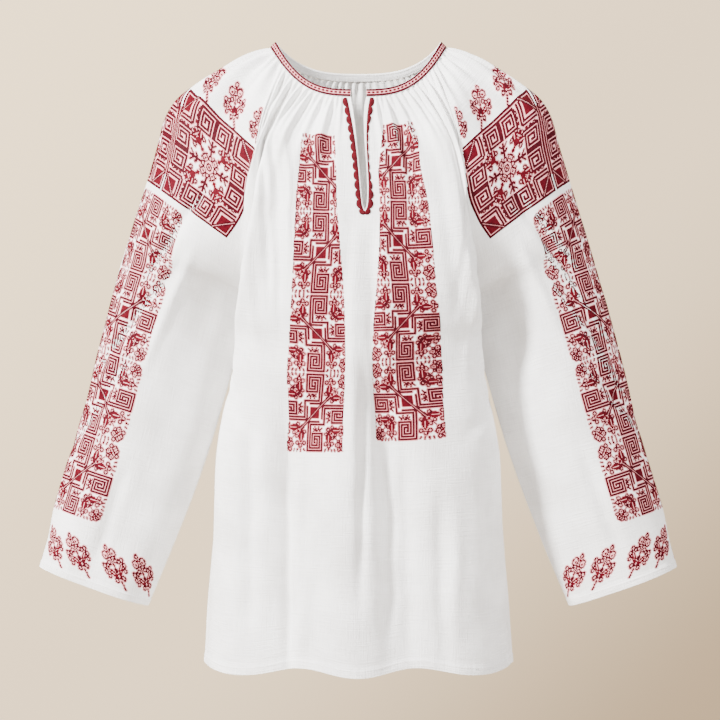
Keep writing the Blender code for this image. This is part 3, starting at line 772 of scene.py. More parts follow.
# The shoulder square's spiral, and a quarter of its wreath
SPIRAL = (
    (-8, 8), (-8, -8), (8, -8), (8, 8), (-5, 8), (-5, -5),
    (5, -5), (5, 5), (-2, 5), (-2, -2), (2, -2), (2, 1.5),
)
WREATH_RINGS = (
    # x, y, radius
    (-17.6, -21.2, 1.6),
    (-21.2, -17.6, 1.6),
    (-9.4, -17.6, 1.6),
    (-17.6, -9.4, 1.6),
    (-5.4, -5.4, 2.8),
    (0, -7, 1.7),
)
WREATH_DOTS = (
    # x, y, radius
    (-18.6, -18.6, 1.3),
    (-5.4, -5.4, 1.1),
    (-9.8, -9.8, 1.6),
    (-4, -9.6, 0.9),
    (-9.6, -4, 0.9),
)

# The sprig's loops on one side of its stem
SPRIG_RINGS = (
    # x, y, radius
    (4.4, 10.2, 1.9),
    (10.4, 15.0, 1.6),
    (12.0, 19.4, 1.7),
    (11.4, 24.0, 1.8),
    (7.2, 23.6, 1.6),
    (3.8, 25.0, 1.8),
    (4.6, 31.4, 3.3),
)


class Chart:
    """A grid of cells with x to the right and y down from its middle. Its drawing functions mark cells."""

    def __init__(self, half_width, half_height):
        columns = np.arange(-half_width, half_width) + 0.5
        rows = np.arange(-half_height, half_height) + 0.5
        self.x, self.y = np.meshgrid(columns, rows)
        self.marks = np.full(self.x.shape, BARE)
        self.placed = lambda x, y: (x, y)

    def away(self, points):
        """How far each cell is from a path."""
        spots = np.array([self.placed(x, y) for x, y in points], float)
        best = np.full(self.x.shape, np.inf)
        for (ax, ay), (bx, by) in zip(spots[:-1], spots[1:]):
            dx, dy = bx - ax, by - ay
            share = ((self.x - ax) * dx + (self.y - ay) * dy) / max(dx * dx + dy * dy, 1e-9)
            share = np.clip(share, 0, 1)
            best = np.minimum(best, np.hypot(self.x - ax - share * dx, self.y - ay - share * dy))
        return best

    def line(self, points, width=LINE_WIDTH, mark=LINE):
        self.marks[self.away(points) <= width / 2] = mark

    def dot(self, x, y, radius=0.8, mark=FILL):
        self.marks[self.away([(x, y), (x, y)]) <= radius] = mark

    def ring(self, x, y, radius, width=FINE_WIDTH):
        apart = np.abs(self.away([(x, y), (x, y)]) - radius)
        self.marks[apart <= width / 2] = LINE

    def leaf(self, root, tip, width, veined=True):
        """A filled bud from its root to its tip, with a bare line along it."""
        (ax, ay), (bx, by) = root, tip
        for share in np.linspace(0, 1, LEAF_DOTS):
            radius = width / 2 * math.sin(math.pi * (LEAF_BLUNT + LEAF_SPAN * share)) ** LEAF_FULLNESS
            self.dot(ax + (bx - ax) * share, ay + (by - ay) * share, radius)
        if veined:
            self.line([(ax + (bx - ax) * VEIN_START, ay + (by - ay) * VEIN_START), tip], VEIN_WIDTH, BARE)

    def box(self, x0, y0, x1, y1):
        (ax, ay), (bx, by) = self.placed(x0, y0), self.placed(x1, y1)
        beside = (self.x > min(ax, bx)) & (self.x < max(ax, bx))
        level = (self.y > min(ay, by)) & (self.y < max(ay, by))
        self.marks[beside & level] = FILL

    def double_line(self, start, end):
        """Two fine lines with bare cloth between them."""
        (ax, ay), (bx, by) = start, end
        size = math.hypot(bx - ax, by - ay)
        ox, oy = (ay - by) / size * DOUBLE_APART, (bx - ax) / size * DOUBLE_APART
        self.line([start, end], DOUBLE_APART, BARE)
        self.line([(ax + ox, ay + oy), (bx + ox, by + oy)], DOUBLE_WIDTH)
        self.line([(ax - ox, ay - oy), (bx - ox, by - oy)], DOUBLE_WIDTH)


def with_tint(marks):
    """Tint the bare cells that lie close among stitches."""
    rows, columns = marks.shape
    sewn = np.pad(marks > BARE, 1).astype(int)
    near = sum(sewn[down : down + rows, aside : aside + columns] for down in range(3) for aside in range(3))
    return np.where((marks == BARE) & (near >= TINTING_NEIGHBOURS), TINT, marks)


def wave_line(x0, x1, y, height, steps):
    """A zigzag's corners."""
    return [(x0 + (x1 - x0) * k / steps, y + height * (-1) ** k) for k in range(steps + 1)]


def tile_arm(chart):
    for path in TILE_KEYS:
        chart.line(path)
    chart.line(wave_line(-1, 10, -18.6, 1.4, 6), FINE_WIDTH)
    for tick in TILE_TICKS:
        chart.line(tick, FINE_WIDTH)
    chart.dot(-1, -20.4, 0.9)
    chart.dot(10.5, -16.5, 0.9)


def corner_half(chart):
    chart.ring(-15.4, -15.4, 1.7)
    chart.line([(-16.5, -16.5), (-28, -28)], FINE_WIDTH)
    chart.leaf((-15.8, -20.0), (-17.0, -31.5), 7.0)
    chart.line([(-17, -18.5), (-16.5, -21)], FINE_WIDTH)
    for x, y, radius in CORNER_RINGS:
        chart.ring(x, y, radius)
    for x, y, radius in CORNER_DOTS:
        chart.dot(x, y, radius)
    for dash in CORNER_DASHES:
        chart.line(dash, DASH_WIDTH)


def tile_chart():
    """The band's tile. It looks the same turned half round, and mirrored in its falling diagonal."""
    chart = Chart(TILE_HALF, TILE_HALF)
    for sign in (1, -1):
        chart.placed = lambda x, y: (sign * x, sign * y)
        tile_arm(chart)
        chart.placed = lambda x, y: (sign * y, sign * x)
        tile_arm(chart)
    for sign_x, sign_y in ((1, 1), (-1, 1), (1, -1), (-1, -1)):
        shrink, shift = (1.0, 0.0) if sign_x == sign_y else (0.88, -5.0)
        chart.placed = lambda x, y: (sign_x * (x * shrink + shift), sign_y * (y * shrink + shift))
        corner_half(chart)
        chart.placed = lambda x, y: (sign_x * (y * shrink + shift), sign_y * (x * shrink + shift))
        corner_half(chart)
    chart.placed = lambda x, y: (x, y)
    chart.box(-6.5, -6.5, 6.5, 6.5)
    chart.double_line((-18.5, -18.5), (18.5, 18.5))
    return chart.marks


def corner_block(chart):
    """The shoulder square's upper left block, a red square cut by a diagonal, with the lines round it."""
    chart.box(-41, -41, -28, -28)
    chart.double_line((-43, -26), (-26, -43))
    chart.line([(-25, -40.5), (-25, -25), (-40.5, -25)])
    chart.line([(-21.8, -40.5), (-21.8, -24.4), (-24.4, -21.8), (-40.5, -21.8)])
    chart.line([(-18.4, -38), (-19.6, -35), (-17.4, -33), (-19.6, -31), (-17.4, -29)], FINE_WIDTH)
    chart.line([(-38, -18.4), (-35, -19.6), (-33, -17.4), (-31, -19.6), (-29, -17.4)], FINE_WIDTH)
    chart.dot(-19, -26.6, 1.3)
    chart.dot(-26.6, -19, 1.3)


def key_spiral(chart, x, y):
    """A square spiral of three turns round x, y."""
    chart.line([(x + px, y + py) for px, py in SPIRAL])


def square_chart():
    """The shoulder square: key spirals and corner blocks round a wreath."""
    chart = Chart(SQUARE_HALF, SQUARE_HALF)
    turns = (
        lambda x, y: (x, y),
        lambda x, y: (-y, x),
        lambda x, y: (-x, -y),
        lambda x, y: (y, -x),
    )
    for placed in turns:
        chart.placed = placed
        corner_block(chart)
        key_spiral(chart, -9, -32)
        key_spiral(chart, 9, -32)
        chart.line([(-43, -43), (43, -43)])
        chart.leaf((-8, -8), (-16.5, -16.5), 3.0, False)
        chart.leaf((-13.0, -14.5), (-12.6, -22.2), 5.6)
        chart.leaf((-14.5, -13.0), (-22.2, -12.6), 5.6)
        chart.line([(0, -10), (0, -21)])
        chart.line([(-4, -20.5), (0, -17), (4, -20.5)])
        chart.line([(-3.4, -15.4), (0, -12.4), (3.4, -15.4)])
        for x, y, radius in WREATH_RINGS:
            chart.ring(x, y, radius)
        for x, y, radius in WREATH_DOTS:
            chart.dot(x, y, radius)
    chart.placed = turns[0]
    chart.ring(0, 0, 2.6)
    chart.dot(0, 0, 1.3)
    return chart.marks


def sprig_chart(right, up):
    """A sprig with two buds, loops and a tip. right and up are its ways on the chart."""
    chart = Chart(SPRIG_HALF_WIDTH, SPRIG_HALF_HEIGHT)
    turned = np.linalg.inv(np.array((right, up)).T)
    aside, down = chart.x - SPRIG_FOOT[0], chart.y - SPRIG_FOOT[1]
    chart.x = turned[0, 0] * aside + turned[0, 1] * down
    chart.y = turned[1, 0] * aside + turned[1, 1] * down
    for k in range(4):
        chart.dot(0, 0.8 + 2.3 * k, 1.0, LINE)
    chart.line([(0, 16), (0, 29)], FINE_WIDTH)
    chart.ring(0, 12.6, 1.9)
    chart.ring(0, 17.4, 1.5)
    for side in (-1, 1):
        chart.leaf((side * 2.2, 13.6), (side * 8.6, 20.2), 4.8)
        for x, y, radius in SPRIG_RINGS:
            chart.ring(side * x, y, radius)
        chart.line([(side * 9.4, 20.4), (side * 11.4, 22.2)], FINE_WIDTH)
        chart.dot(side * 4.4, 31.0, 1.0)
        chart.line([(0, 28.5), (side * 2, 29)], FINE_WIDTH)
    chart.dot(0, 22.0, 1.1)
    chart.dot(0, 33.6, 1.1)
    chart.ring(0, 37.0, 1.8)
    return chart.marks


def band_chart(columns):
    """The neck band's stitching: an edge line, a vine of small diamonds on tinted cloth and an edge line."""
    high = np.abs(np.arange(BAND_ROWS) - BAND_ROWS // 2)[:, None]
    turn = np.abs(np.arange(columns) % BAND_REPEAT - BAND_REPEAT // 2)[None, :]
    marks = np.full((BAND_ROWS, columns), TINT)
    marks[(high + turn <= 2) & (high < 2)] = FILL
    marks[np.broadcast_to(high >= 3, marks.shape)] = LINE
    return marks


class Work:
    """Raised stitches and the tinted cloth between them, collected until they become one mesh."""

    # A stitch is a cell wide each way and a little more, so that it laps over its neighbours
    HALF = 0.6
    CORNERS = ((-HALF, -HALF), (HALF, -HALF), (HALF, HALF), (-HALF, HALF))
    LEVELS = (-HALF, 0.0, HALF)
    CORNER_LIFT = 0.12 * MM
    MIDDLE_LIFT = 0.42 * MM
    TINT_LIFT = 0.05 * MM

    def __init__(self, winding):
        self.winding = winding
        self.stitches = []
        self.marks = []
        self.tints = []

    def add_row(self, lines, marks, at):
        """One row of stitches. lines has the cloth at each level: its measure, points and ways out.

        at(cells, sideways, down) gives the measure at a place in each cell.
        """

        def spots(cells, places, lift):
            found = []
            for (sideways, down), height in zip(places, lift):
                measure, points, out = lines[self.LEVELS.index(down)]
                place = at(cells, sideways, down)
                raised = points + out * height
                found.append(np.stack([np.interp(place, measure, raised[:, i]) for i in range(3)], axis=-1))
            return np.stack(found, axis=1)

        sewn = np.flatnonzero((marks == LINE) | (marks == FILL))
        if len(sewn):
            lift = [self.CORNER_LIFT] * 4 + [self.MIDDLE_LIFT]
            self.stitches.append(spots(sewn, (*self.CORNERS, (0.0, 0.0)), lift))
            self.marks.append(marks[sewn])
        tinted = np.flatnonzero(marks == TINT)
        if len(tinted):
            self.tints.append(spots(tinted, self.CORNERS, [self.TINT_LIFT] * 4))

    def build(self, name, materials, slot):
        stitches = np.concatenate(self.stitches)
        tints = np.concatenate(self.tints) if self.tints else np.zeros((0, 4, 3))
        sides = np.array(((4, 0, 1), (4, 1, 2), (4, 2, 3), (4, 3, 0)))
        corners = np.arange(4)
        if self.winding > 0:
            sides, corners = sides[:, ::-1], corners[::-1]
        first = 5 * len(stitches)
        faces = (np.arange(len(stitches))[:, None, None] * 5 + sides[None]).reshape(-1, 3).tolist()
        faces += (first + np.arange(len(tints))[:, None] * 4 + corners[None]).tolist()
        points = np.concatenate([stitches.reshape(-1, 3), tints.reshape(-1, 3)])
        piece = make_piece(name, points, faces, materials)
        kinds = np.concatenate([np.repeat(np.concatenate(self.marks), 4), np.full(len(tints), TINT)]) - 1
        piece.data.polygons.foreach_set("material_index", kinds.astype(np.int32))
        return piece


def make_piece(name, points, faces, materials, flat=None, sharp=None):
    mesh = bpy.data.meshes.new(name)
    mesh.from_pydata(points.tolist(), [], faces)
    for material in materials:
        mesh.materials.append(material)
    if flat is not None:
        corners = np.empty(len(mesh.loops), np.int32)
        mesh.loops.foreach_get("vertex_index", corners)
        mesh.uv_layers.new(name="cloth").data.foreach_set("uv", flat[corners].astype(np.float32).ravel())
    mesh.update()
    mesh.shade_smooth()
    if sharp is not None:
        mesh.set_sharp_from_angle(angle=math.radians(sharp))
    piece = bpy.data.objects.new(name, mesh)
    bpy.context.collection.objects.link(piece)
    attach(piece, "root")
    return piece


def grid_quads(index, winding):
    quads = np.stack([index[:-1, :-1], index[1:, :-1], index[1:, 1:], index[:-1, 1:]], axis=-1).reshape(-1, 4)
    return quads if winding > 0 else quads[:, ::-1]


def shell(name, outer, inner, flat, quads, materials):
    """A closed wall from its two sides, with a rim round every open edge."""
    used, quads = np.unique(quads, return_inverse=True)
    quads = quads.reshape(-1, 4)
    count = len(used)
    edges = np.concatenate([quads[:, (i, (i + 1) % 4)] for i in range(4)])
    ahead = edges[:, 0] * count + edges[:, 1]
    back = edges[:, 1] * count + edges[:, 0]
    open_edges = edges[~np.isin(ahead, back)]
    a, b = open_edges[:, 0], open_edges[:, 1]
    rims = np.stack([b, a, a + count, b + count], axis=-1)
    faces = np.concatenate([quads, quads[:, ::-1] + count, rims])
    points = np.concatenate([outer.reshape(-1, 3)[used], inner.reshape(-1, 3)[used]])
    flat = flat.reshape(-1, 2)[used]
    return make_piece(name, points, faces.tolist(), materials, np.concatenate([flat, flat]), 50)


def thread_line(work, points, out, length, space, width):
    """Running stitches along a path on the cloth: flat pads with gaps between them."""
    reach = reach_along(points)
    starts = np.arange(space, reach[-1] - length - space, length + space)
    way = unit(np.gradient(points, axis=0))
    side = unit(np.cross(out, way))
    lines = [(reach, points + side * down * width, out) for down in work.LEVELS]
    centre = starts + length / 2
    marks = np.full(len(starts), LINE)
    work.add_row(lines, marks, lambda cells, sideways, down: centre[cells] + sideways * length)


def gathers(across, drop, count, phase):
    """Drawn-up cloth under the band: fine pleats that join by pairs into wider ones further down."""
    wander = sum(depth * np.sin(waves * across + turns * phase) for depth, waves, turns in WANDER)
    uneven = 1 - UNEVEN + UNEVEN * np.sin(UNEVEN_WAVES * across + UNEVEN_TURN + phase)
    rise = GATHER_START + (1 - GATHER_START) * eased(drop / GATHER_RISE)
    fine = np.cos(np.pi * count * across + wander)
    fine = np.sign(fine) * np.abs(fine) ** FINE_FULLNESS
    total = FINE_GATHER * uneven * rise * np.exp(-((drop / FINE_LENGTH) ** 2)) * fine
    for joined, depth, rise, length, share, turns in PLEATS:
        pleats = np.cos(np.pi * count / joined * across + share * wander + turns * phase)
        level = depth * MM * (PAIR_EVENNESS - uneven if joined == 2 else 1)
        fade = eased(drop / (rise * MM)) * np.exp(-((drop / (length * MM)) ** 2))
        total = total + level * fade * pleats
    beside = eased((np.abs(across) - MIDDLE_REACH) / MIDDLE_FADE)
    return total * (MIDDLE_GATHER + (1 - MIDDLE_GATHER) * beside)


def creases(table, flat):
    """Soft creases placed one by one on the flat cloth. A depth below zero is a trough."""
    total = np.zeros(flat.shape[:-1])
    for aside, down, lean, half_length, half_width, depth in table:
        turn = math.radians(lean)
        dx, dy = flat[..., 0] - aside * MM, flat[..., 1] - down * MM
        along = dy * math.cos(turn) + dx * math.sin(turn)
        beside = dx * math.cos(turn) - dy * math.sin(turn)
        beside = beside + CREASE_WAVER * half_width * MM * np.sin(along / CREASE_WAVER_LENGTH)
        fade = np.exp(-((along / (half_length * MM)) ** 4))
        total += depth * MM * fade * np.exp(-((beside / (half_width * MM)) ** 2))
    return total


def slackness(flat, phase):
    """Low swells all over the cloth, so that no part is dead flat."""
    u, v = flat[..., 0], flat[..., 1]
    beside, bend, down = SLACK_WIDE
    total = np.sin(u * beside + SLACK_BEND * np.sin(v * bend + phase)) * np.sin(v * down + phase)
    beside, lean, down, back = SLACK_FINE
    fine = np.sin(u * beside + v * lean + SLACK_FINE_TURN * phase) * np.sin(v * down - u * back)
    return SLACK_DEPTH * (total + SLACK_FINE_DEPTH * fine)


class Sheet:
    """A panel as a grid of points, with the way out of its wall at each point.

    winding is 1 where down, then across, turns to face out, and -1 where it turns to face in.
    """

    def __init__(self, shape, run, across, winding, lower_drop):
        self.run, self.across, self.winding = run, across, winding
        self.drop = drop_of(run, lower_drop)
        self.length = YOKE_DROP + lower_drop
        small = SLOPE_STEP
        down = shape(np.minimum(run + small, 2), across) - shape(np.maximum(run - small, 0), across)
        sideways = shape(run, np.minimum(across + small, 1)) - shape(run, np.maximum(across - small, -1))
        self.points = shape(run, across)
        self.out = unit(np.cross(down, sideways)) * winding
        step = np.linalg.norm(np.diff(self.points, axis=1), axis=-1)
        aside = np.concatenate([np.zeros((len(run), 1)), np.cumsum(step, axis=1)], axis=1)
        aside = aside - aside[:, run.shape[1] // 2][:, None]
        self.flat = np.stack([aside, self.drop], axis=-1)

    def finish(self, distance, ring_out):
        """Push the points out by a distance that dies away at the seams."""
        calm = eased((1 - np.abs(self.across)) / SEAM_CALM)
        from_end = self.length - self.drop
        stitched = np.exp(-(((from_end - HEM_TURN) / HEM_PUCKER_WIDTH) ** 2))
        wave = np.sin(self.flat[..., 0] * 2 * np.pi / HEM_PUCKER_PITCH)
        pucker = -HEM_PUCKER * stitched * (HEM_PUCKER_EVEN + (1 - HEM_PUCKER_EVEN) * wave)
        self.out[0] = ring_out
        self.points = self.points + (calm * distance + pucker)[..., None] * self.out
        self.extra = HEM_EXTRA * (from_end < HEM_TURN + HEM_MARGIN)

    def outer(self):
        return self.points + self.out * (WALL / 2 + self.extra[..., None])

    def inner(self):
        return self.points - self.out * WALL / 2

    def line_at(self, drop):
        """The outer face along one drop: across, points and ways out, one for each column."""
        row = np.interp(drop, self.drop[:, 0], np.arange(len(self.drop)))
        low = min(int(row), len(self.drop) - 2)
        share = row - low
        mixed = []
        for grid in (self.across, self.outside, self.out):
            mixed.append(grid[low] * (1 - share) + grid[low + 1] * share)
        return mixed


def graded(start, end, steps, power=1.0):
    return start + (end - start) * np.linspace(0, 1, steps + 1) ** power


def lower_runs(drop, steps):
    """Runs below the armpit, with close rows at the turned-up edge."""
    end = 2 - (HEM_TURN + HEM_STEP) / drop
    edge = 2 - HEM_TURN * np.array(HEM_ROWS) / drop
    return np.concatenate([graded(1, end, steps)[1:], edge])


SLIT_RUN = SLIT_LENGTH / YOKE_DROP
YOKE_RUNS = np.concatenate([graded(0, SLIT_RUN, SLIT_ROW, SLIT_GRADING), graded(SLIT_RUN, 1, YOKE_ROWS)[1:]])
ARMPIT_ROW = len(YOKE_RUNS) - 1
BODY_RUNS = lower_runs(BODY_DROP, BODY_ROWS)
SLEEVE_RUNS = lower_runs(SLEEVE_DROP, SLEEVE_ROWS)


def wave_hem(sheet, phase):
    """The hem dips where the cloth bulges and rises in the troughs between, but not at the side seams."""
    wave = HEM_WAVE_RISE - HEM_WAVE * np.cos(2 * np.pi * sheet.points[..., 0] / HEM_WAVE_LENGTH + phase)
    low = eased((sheet.drop - sheet.length + HEM_WAVE_HEIGHT) / HEM_WAVE_HEIGHT)
    sheet.points[..., 2] += wave * low * eased((1 - np.abs(sheet.across)) / HEM_WAVE_CALM)


def make_front():
    """The front. Its middle column is doubled, and the two copies part above the slit's end."""
    half = np.linspace(0, 1, FRONT_HALF_COLUMNS + 1)
    columns = np.concatenate([-half[::-1], half])
    side = np.concatenate([-np.ones(len(half)), np.ones(len(half))])
    run, column = np.meshgrid(np.concatenate([YOKE_RUNS, BODY_RUNS]), columns, indexing="ij")
    drop = drop_of(run, BODY_DROP)
    spread = 1 - eased(np.abs(column) / SLIT_SPREAD)
    drift = SLIT_DRIFT * eased(drop / SLIT_LENGTH) * eased((2 * SLIT_LENGTH - drop) / SLIT_LENGTH)
    small = RING_STEP * np.ones_like(run)
    breadth = front_shape(run, small)[..., 0] / small
    across = column + spread * (side * slit_half_gap(drop) + drift) / breadth
    sheet = Sheet(front_shape, run, across, 1, BODY_DROP)
    near_slit = 1 - eased(np.abs(column) / SLIT_CALM - 0.5)
    near_slit = near_slit * eased((SLIT_CALM_LENGTH - drop) / SLIT_CALM_FADE)
    waves = gathers(column, drop, FRONT_GATHERS, 0.4) + folds(FRONT_FOLDS, column, drop)
    waves = waves * (1 - near_slit) + creases(FRONT_CREASES, sheet.flat) + slackness(sheet.flat, 0.3)
    wave_hem(sheet, 0.0)
    sheet.finish(waves, ring_outward(RAGLAN_ANGLE * across[0]))
    return sheet


def make_back():
    columns = np.linspace(-1, 1, BACK_COLUMNS + 1)
    run, across = np.meshgrid(np.concatenate([YOKE_RUNS, BODY_RUNS]), columns, indexing="ij")
    sheet = Sheet(back_shape, run, across, -1, BODY_DROP)
    waves = gathers(across, sheet.drop, BACK_GATHERS, 1.9) + folds(BACK_FOLDS, across, sheet.drop)
    waves = waves + creases(BACK_CREASES, sheet.flat) + slackness(sheet.flat, 1.4)
    wave_hem(sheet, 1.1)
    sheet.finish(waves, ring_outward(np.pi - RAGLAN_ANGLE * columns))
    return sheet


def make_sleeve(shape, table, crease_table, winding, phase):
    columns = np.linspace(-1, 1, SLEEVE_COLUMNS + 1)
    run, across = np.meshgrid(np.concatenate([YOKE_RUNS, SLEEVE_RUNS]), columns, indexing="ij")
    sheet = Sheet(shape, run, across, winding, SLEEVE_DROP)
    waves = gathers(across, sheet.drop, SLEEVE_GATHERS, phase) + folds(table, across, sheet.drop)
    waves = waves + creases(crease_table, sheet.flat) + slackness(sheet.flat, phase)
    outward = ring_outward(np.pi / 2 + (np.pi / 2 - RAGLAN_ANGLE) * columns)
    sheet.finish(waves, outward * np.array((winding, 1, 1)))
    return sheet


def front_band(sheet, tile, side, work):
    """Four tiles down one side of the slit, cut off at the two edges of the band's table."""
    names = ("right_in", "right_middle", "right_out") if side > 0 else ("left_out", "left_middle", "left_in")
    top = FRONT_BAND_TOPS[side > 0]
    cell = FRONT_TILE_LENGTH / len(tile)
    for number in range(TILES_PER_BAND):
        chart = with_tint(tile[:, ::-1] if (number + (side > 0)) % 2 else tile)
        for row in range(len(chart)):
            middle = top + number * FRONT_TILE_LENGTH + (row + 0.5) * cell

            def at(cells, sideways, down):
                drop = (middle + down * cell) / MM
                aside = (cells + 0.5 + sideways - TILE_HALF) * FRONT_BAND.at("cell", drop)
                return FRONT_BAND.at(names[1], drop) + aside

            place = at(np.arange(2 * TILE_HALF), 0, 0)
            first, last = FRONT_BAND.at(names[0], middle / MM), FRONT_BAND.at(names[2], middle / MM)
            marks = np.where((place > first) & (place < last), chart[row], BARE)
            work.add_row([sheet.line_at(middle + down * cell) for down in work.LEVELS], marks, at)


def on_sleeve(sheet, chart, middle_drop, middle_aside, work, cell=CELL, spread=(1.0, 1.0)):
    """A chart laid on a sleeve, its middle at a drop and at a distance from the sleeve's embroidery axis.

    spread widens it from the axis, by one factor at its top and another at its foot.
    """
    rows, columns = chart.shape
    for row in range(rows):
        lines = []
        for down in work.LEVELS:
            drop = middle_drop + (row + 0.5 + down - rows / 2) * cell
            across, points, out = sheet.line_at(drop)
            reach = reach_along(points)
            run = np.interp(drop, sheet.drop[:, 0], sheet.run[:, 0])
            axis = np.interp(SLEEVE_AXIS.at("across", run), across, reach)
            lines.append((reach - axis, points, out))

        def at(cells, sideways, down):
            wide = spread[0] + (spread[1] - spread[0]) * (row + 0.5 + down) / rows
            return (middle_aside + (cells + 0.5 + sideways - columns / 2) * cell) * wide

        place = at(np.arange(columns), 0, 0)
        low = max(line[0][0] for line in lines) + SLEEVE_EDGE
        high = min(line[0][-1] for line in lines) - SLEEVE_EDGE
        work.add_row(lines, np.where((place > low) & (place < high), chart[row], BARE), at)


def sprigs_on_sleeve(sheet, chart, drop, places, work):
    """Sprigs with their feet at a drop."""
    for place in places:
        aside = place * MM - SPRIG_FOOT[0] * CELL
        on_sleeve(sheet, chart, drop - SPRIG_FOOT[1] * CELL, aside, work)


def sew_sleeve(sheet, name):
    """The sleeve's shoulder squares with their sprigs, its band of tiles, and the sprigs round its cuff."""
    tile, square = tile_chart(), with_tint(square_chart())
    shoulder, band, cuff = (Work(sheet.winding) for _ in range(3))
    half = SQUARE_HALF * CELL
    middle = SQUARE_TOP + half
    spread = (SQUARE_SPREAD_TOP, SQUARE_SPREAD_FOOT)
    on_sleeve(sheet, square, middle, -half - AXIS_HALF, shoulder, spread=spread)
    on_sleeve(sheet, square[:, ::-1], middle, half + AXIS_HALF, shoulder, spread=spread)
    axis_line = np.full((2 * (SQUARE_HALF - AXIS_LINE_INSET), 5), FILL)
    axis_line[:, 2] = TINT
    on_sleeve(sheet, axis_line, middle, 0.0, shoulder)
    sprig = with_tint(sprig_chart(*SHOULDER_SPRIG_WAYS))
    sprigs_on_sleeve(sheet, sprig, SQUARE_TOP, SHOULDER_SPRIGS, shoulder)
    cell = SLEEVE_TILE_LENGTH / (2 * TILE_HALF)
    for number in range(TILES_PER_BAND):
        marks = with_tint(tile if number % 2 else tile[:, ::-1])
        on_sleeve(sheet, marks, SLEEVE_BAND_TOP + (number + 0.5) * SLEEVE_TILE_LENGTH, 0.0, band, cell)
    feet = YOKE_DROP + SLEEVE_DROP - CUFF_SPRIG_RISE
    sprig = with_tint(sprig_chart(*CUFF_SPRIG_WAYS))
    sprigs_on_sleeve(sheet, sprig, feet, CUFF_SPRIGS, cuff)
    works = (("shoulder", shoulder), ("band", band), ("cuff", cuff))
    return [work.build(f"{name}_{place}_stitches", STITCH_MATERIALS, "red_trim") for place, work in works]


def edge_sewing(sheet, name):
    """White running stitches along a turned-up edge."""
    points, out = sheet.line_at(sheet.length - HEM_SEWING)[1:]
    work = Work(sheet.winding)
    thread_line(work, points[2:-2], out[2:-2], *HEM_STITCH)
    return work.build(name, [SEWING, SEWING], "white_cloth")


def build_panel(name, sheet):
    """A panel's shell. The front's two halves share their middle points from the slit's end down."""
    index = np.arange(sheet.run.size).reshape(sheet.run.shape)
    quads = grid_quads(index, sheet.winding)
    if name == "front_cloth":
        middle = index.shape[1] // 2
        index[SLIT_ROW:, middle] = index[SLIT_ROW:, middle - 1]
        quads = np.concatenate([grid_quads(index[:, :middle], 1), grid_quads(index[:, middle:], 1)])
    return shell(name, sheet.outer(), sheet.inner(), sheet.flat, quads, [CLOTH])


def band_section():
    """The folded strip's section: height down from the top edge, and way out from its middle surface."""
    turn = np.linspace(0, 2 * np.pi, BAND_SECTION_POINTS, endpoint=False)
    cosine, sine = np.cos(turn), np.sin(turn)
    height = BAND_HEIGHT / 2 * (1 - np.sign(cosine) * np.abs(cosine) ** BAND_ROUNDNESS)
    thick = BAND_MIDDLE_THICKNESS / 2 * np.sign(sine) * np.abs(sine) ** BAND_ROUNDNESS
    return height, thick


def ripple(angle, height):
    return BAND_RIPPLE * np.sin(angle * BAND_RIPPLES) * np.sin(np.pi * height / BAND_HEIGHT)


def build_band():
    """The neck band, its stitching outside and the sewing that shows inside."""
    gap_angle = math.asin(SLIT_TOP_HALF_GAP / NECK_HALF_WIDTH)
    angle = np.linspace(gap_angle, 2 * np.pi - gap_angle, BAND_COLUMNS + 1)
    height, thick = band_section()
    heights, angles = np.meshgrid(height, angle, indexing="ij")
    bulge = thick[:, None] + ripple(angles, heights)
    points = ring(angles, heights) + ring_outward(angles) * bulge[..., None]
    reach = reach_along(ring(angle, 0.0))
    girth = np.linspace(0, BAND_GIRTH, len(height))[:, None]
    flat = np.stack(np.broadcast_arrays(reach[None, :], girth), axis=-1)
    index = np.arange(angles.size).reshape(angles.shape)
    index = np.concatenate([index, index[:1]])
    caps = [index[:-1, 0].tolist(), index[:-1, -1][::-1].tolist()]
    faces = grid_quads(index, 1).tolist() + caps
    points, flat = points.reshape(-1, 3), flat.reshape(-1, 2)
    band = make_piece("band_cloth", points, faces, [BAND_CLOTH], flat, 60)

    columns = int(reach[-1] / BAND_CELL)
    marks = band_chart(columns)
    cell_height = BAND_STITCHED / BAND_ROWS
    outside, inside = Work(1), Work(-1)

    def face(height, side):
        level = 1 - np.abs(1 - 2 * height / BAND_HEIGHT) ** (2 / BAND_ROUNDNESS)
        bulge = BAND_MIDDLE_THICKNESS / 2 * level ** (BAND_ROUNDNESS / 2) + ripple(angle, height)
        out = ring_outward(angle) * side
        return ring(angle, height) + out * bulge[:, None], out

    for row in range(BAND_ROWS):
        centre = (BAND_HEIGHT - BAND_STITCHED) / 2 + (row + 0.5) * cell_height
        lines = [(reach, *face(centre + down * cell_height, 1)) for down in outside.LEVELS]
        outside.add_row(lines, marks[row], lambda cells, sideways, down: (cells + 0.5 + sideways) * BAND_CELL)
    outside.build("band_stitches", STITCH_MATERIALS, "red_trim")
    for height in (BAND_SEWING_INSET, BAND_HEIGHT - BAND_SEWING_INSET):
        points, out = face(height, -1)
        thread_line(inside, points, out, *BAND_STITCH)
    inside.build("band_sewing", [SEWING, SEWING], "white_cloth")
    return band


def on_front(sheet, side, drop, reach):
    """Places on the front's outer face, reach away from the slit's edge on one side, and their ways out."""
    middle = sheet.run.shape[1] // 2
    half = slice(middle, None) if side > 0 else slice(middle - 1, None, -1)
    line, out = (grid[half] for grid in sheet.line_at(drop)[1:])
    length = reach_along(line)
    spot = np.stack([np.interp(reach, length, line[:, k]) for k in range(3)], axis=-1)
    way = np.stack([np.interp(reach, length, out[:, k]) for k in range(3)], axis=-1)
    return spot, unit(way)


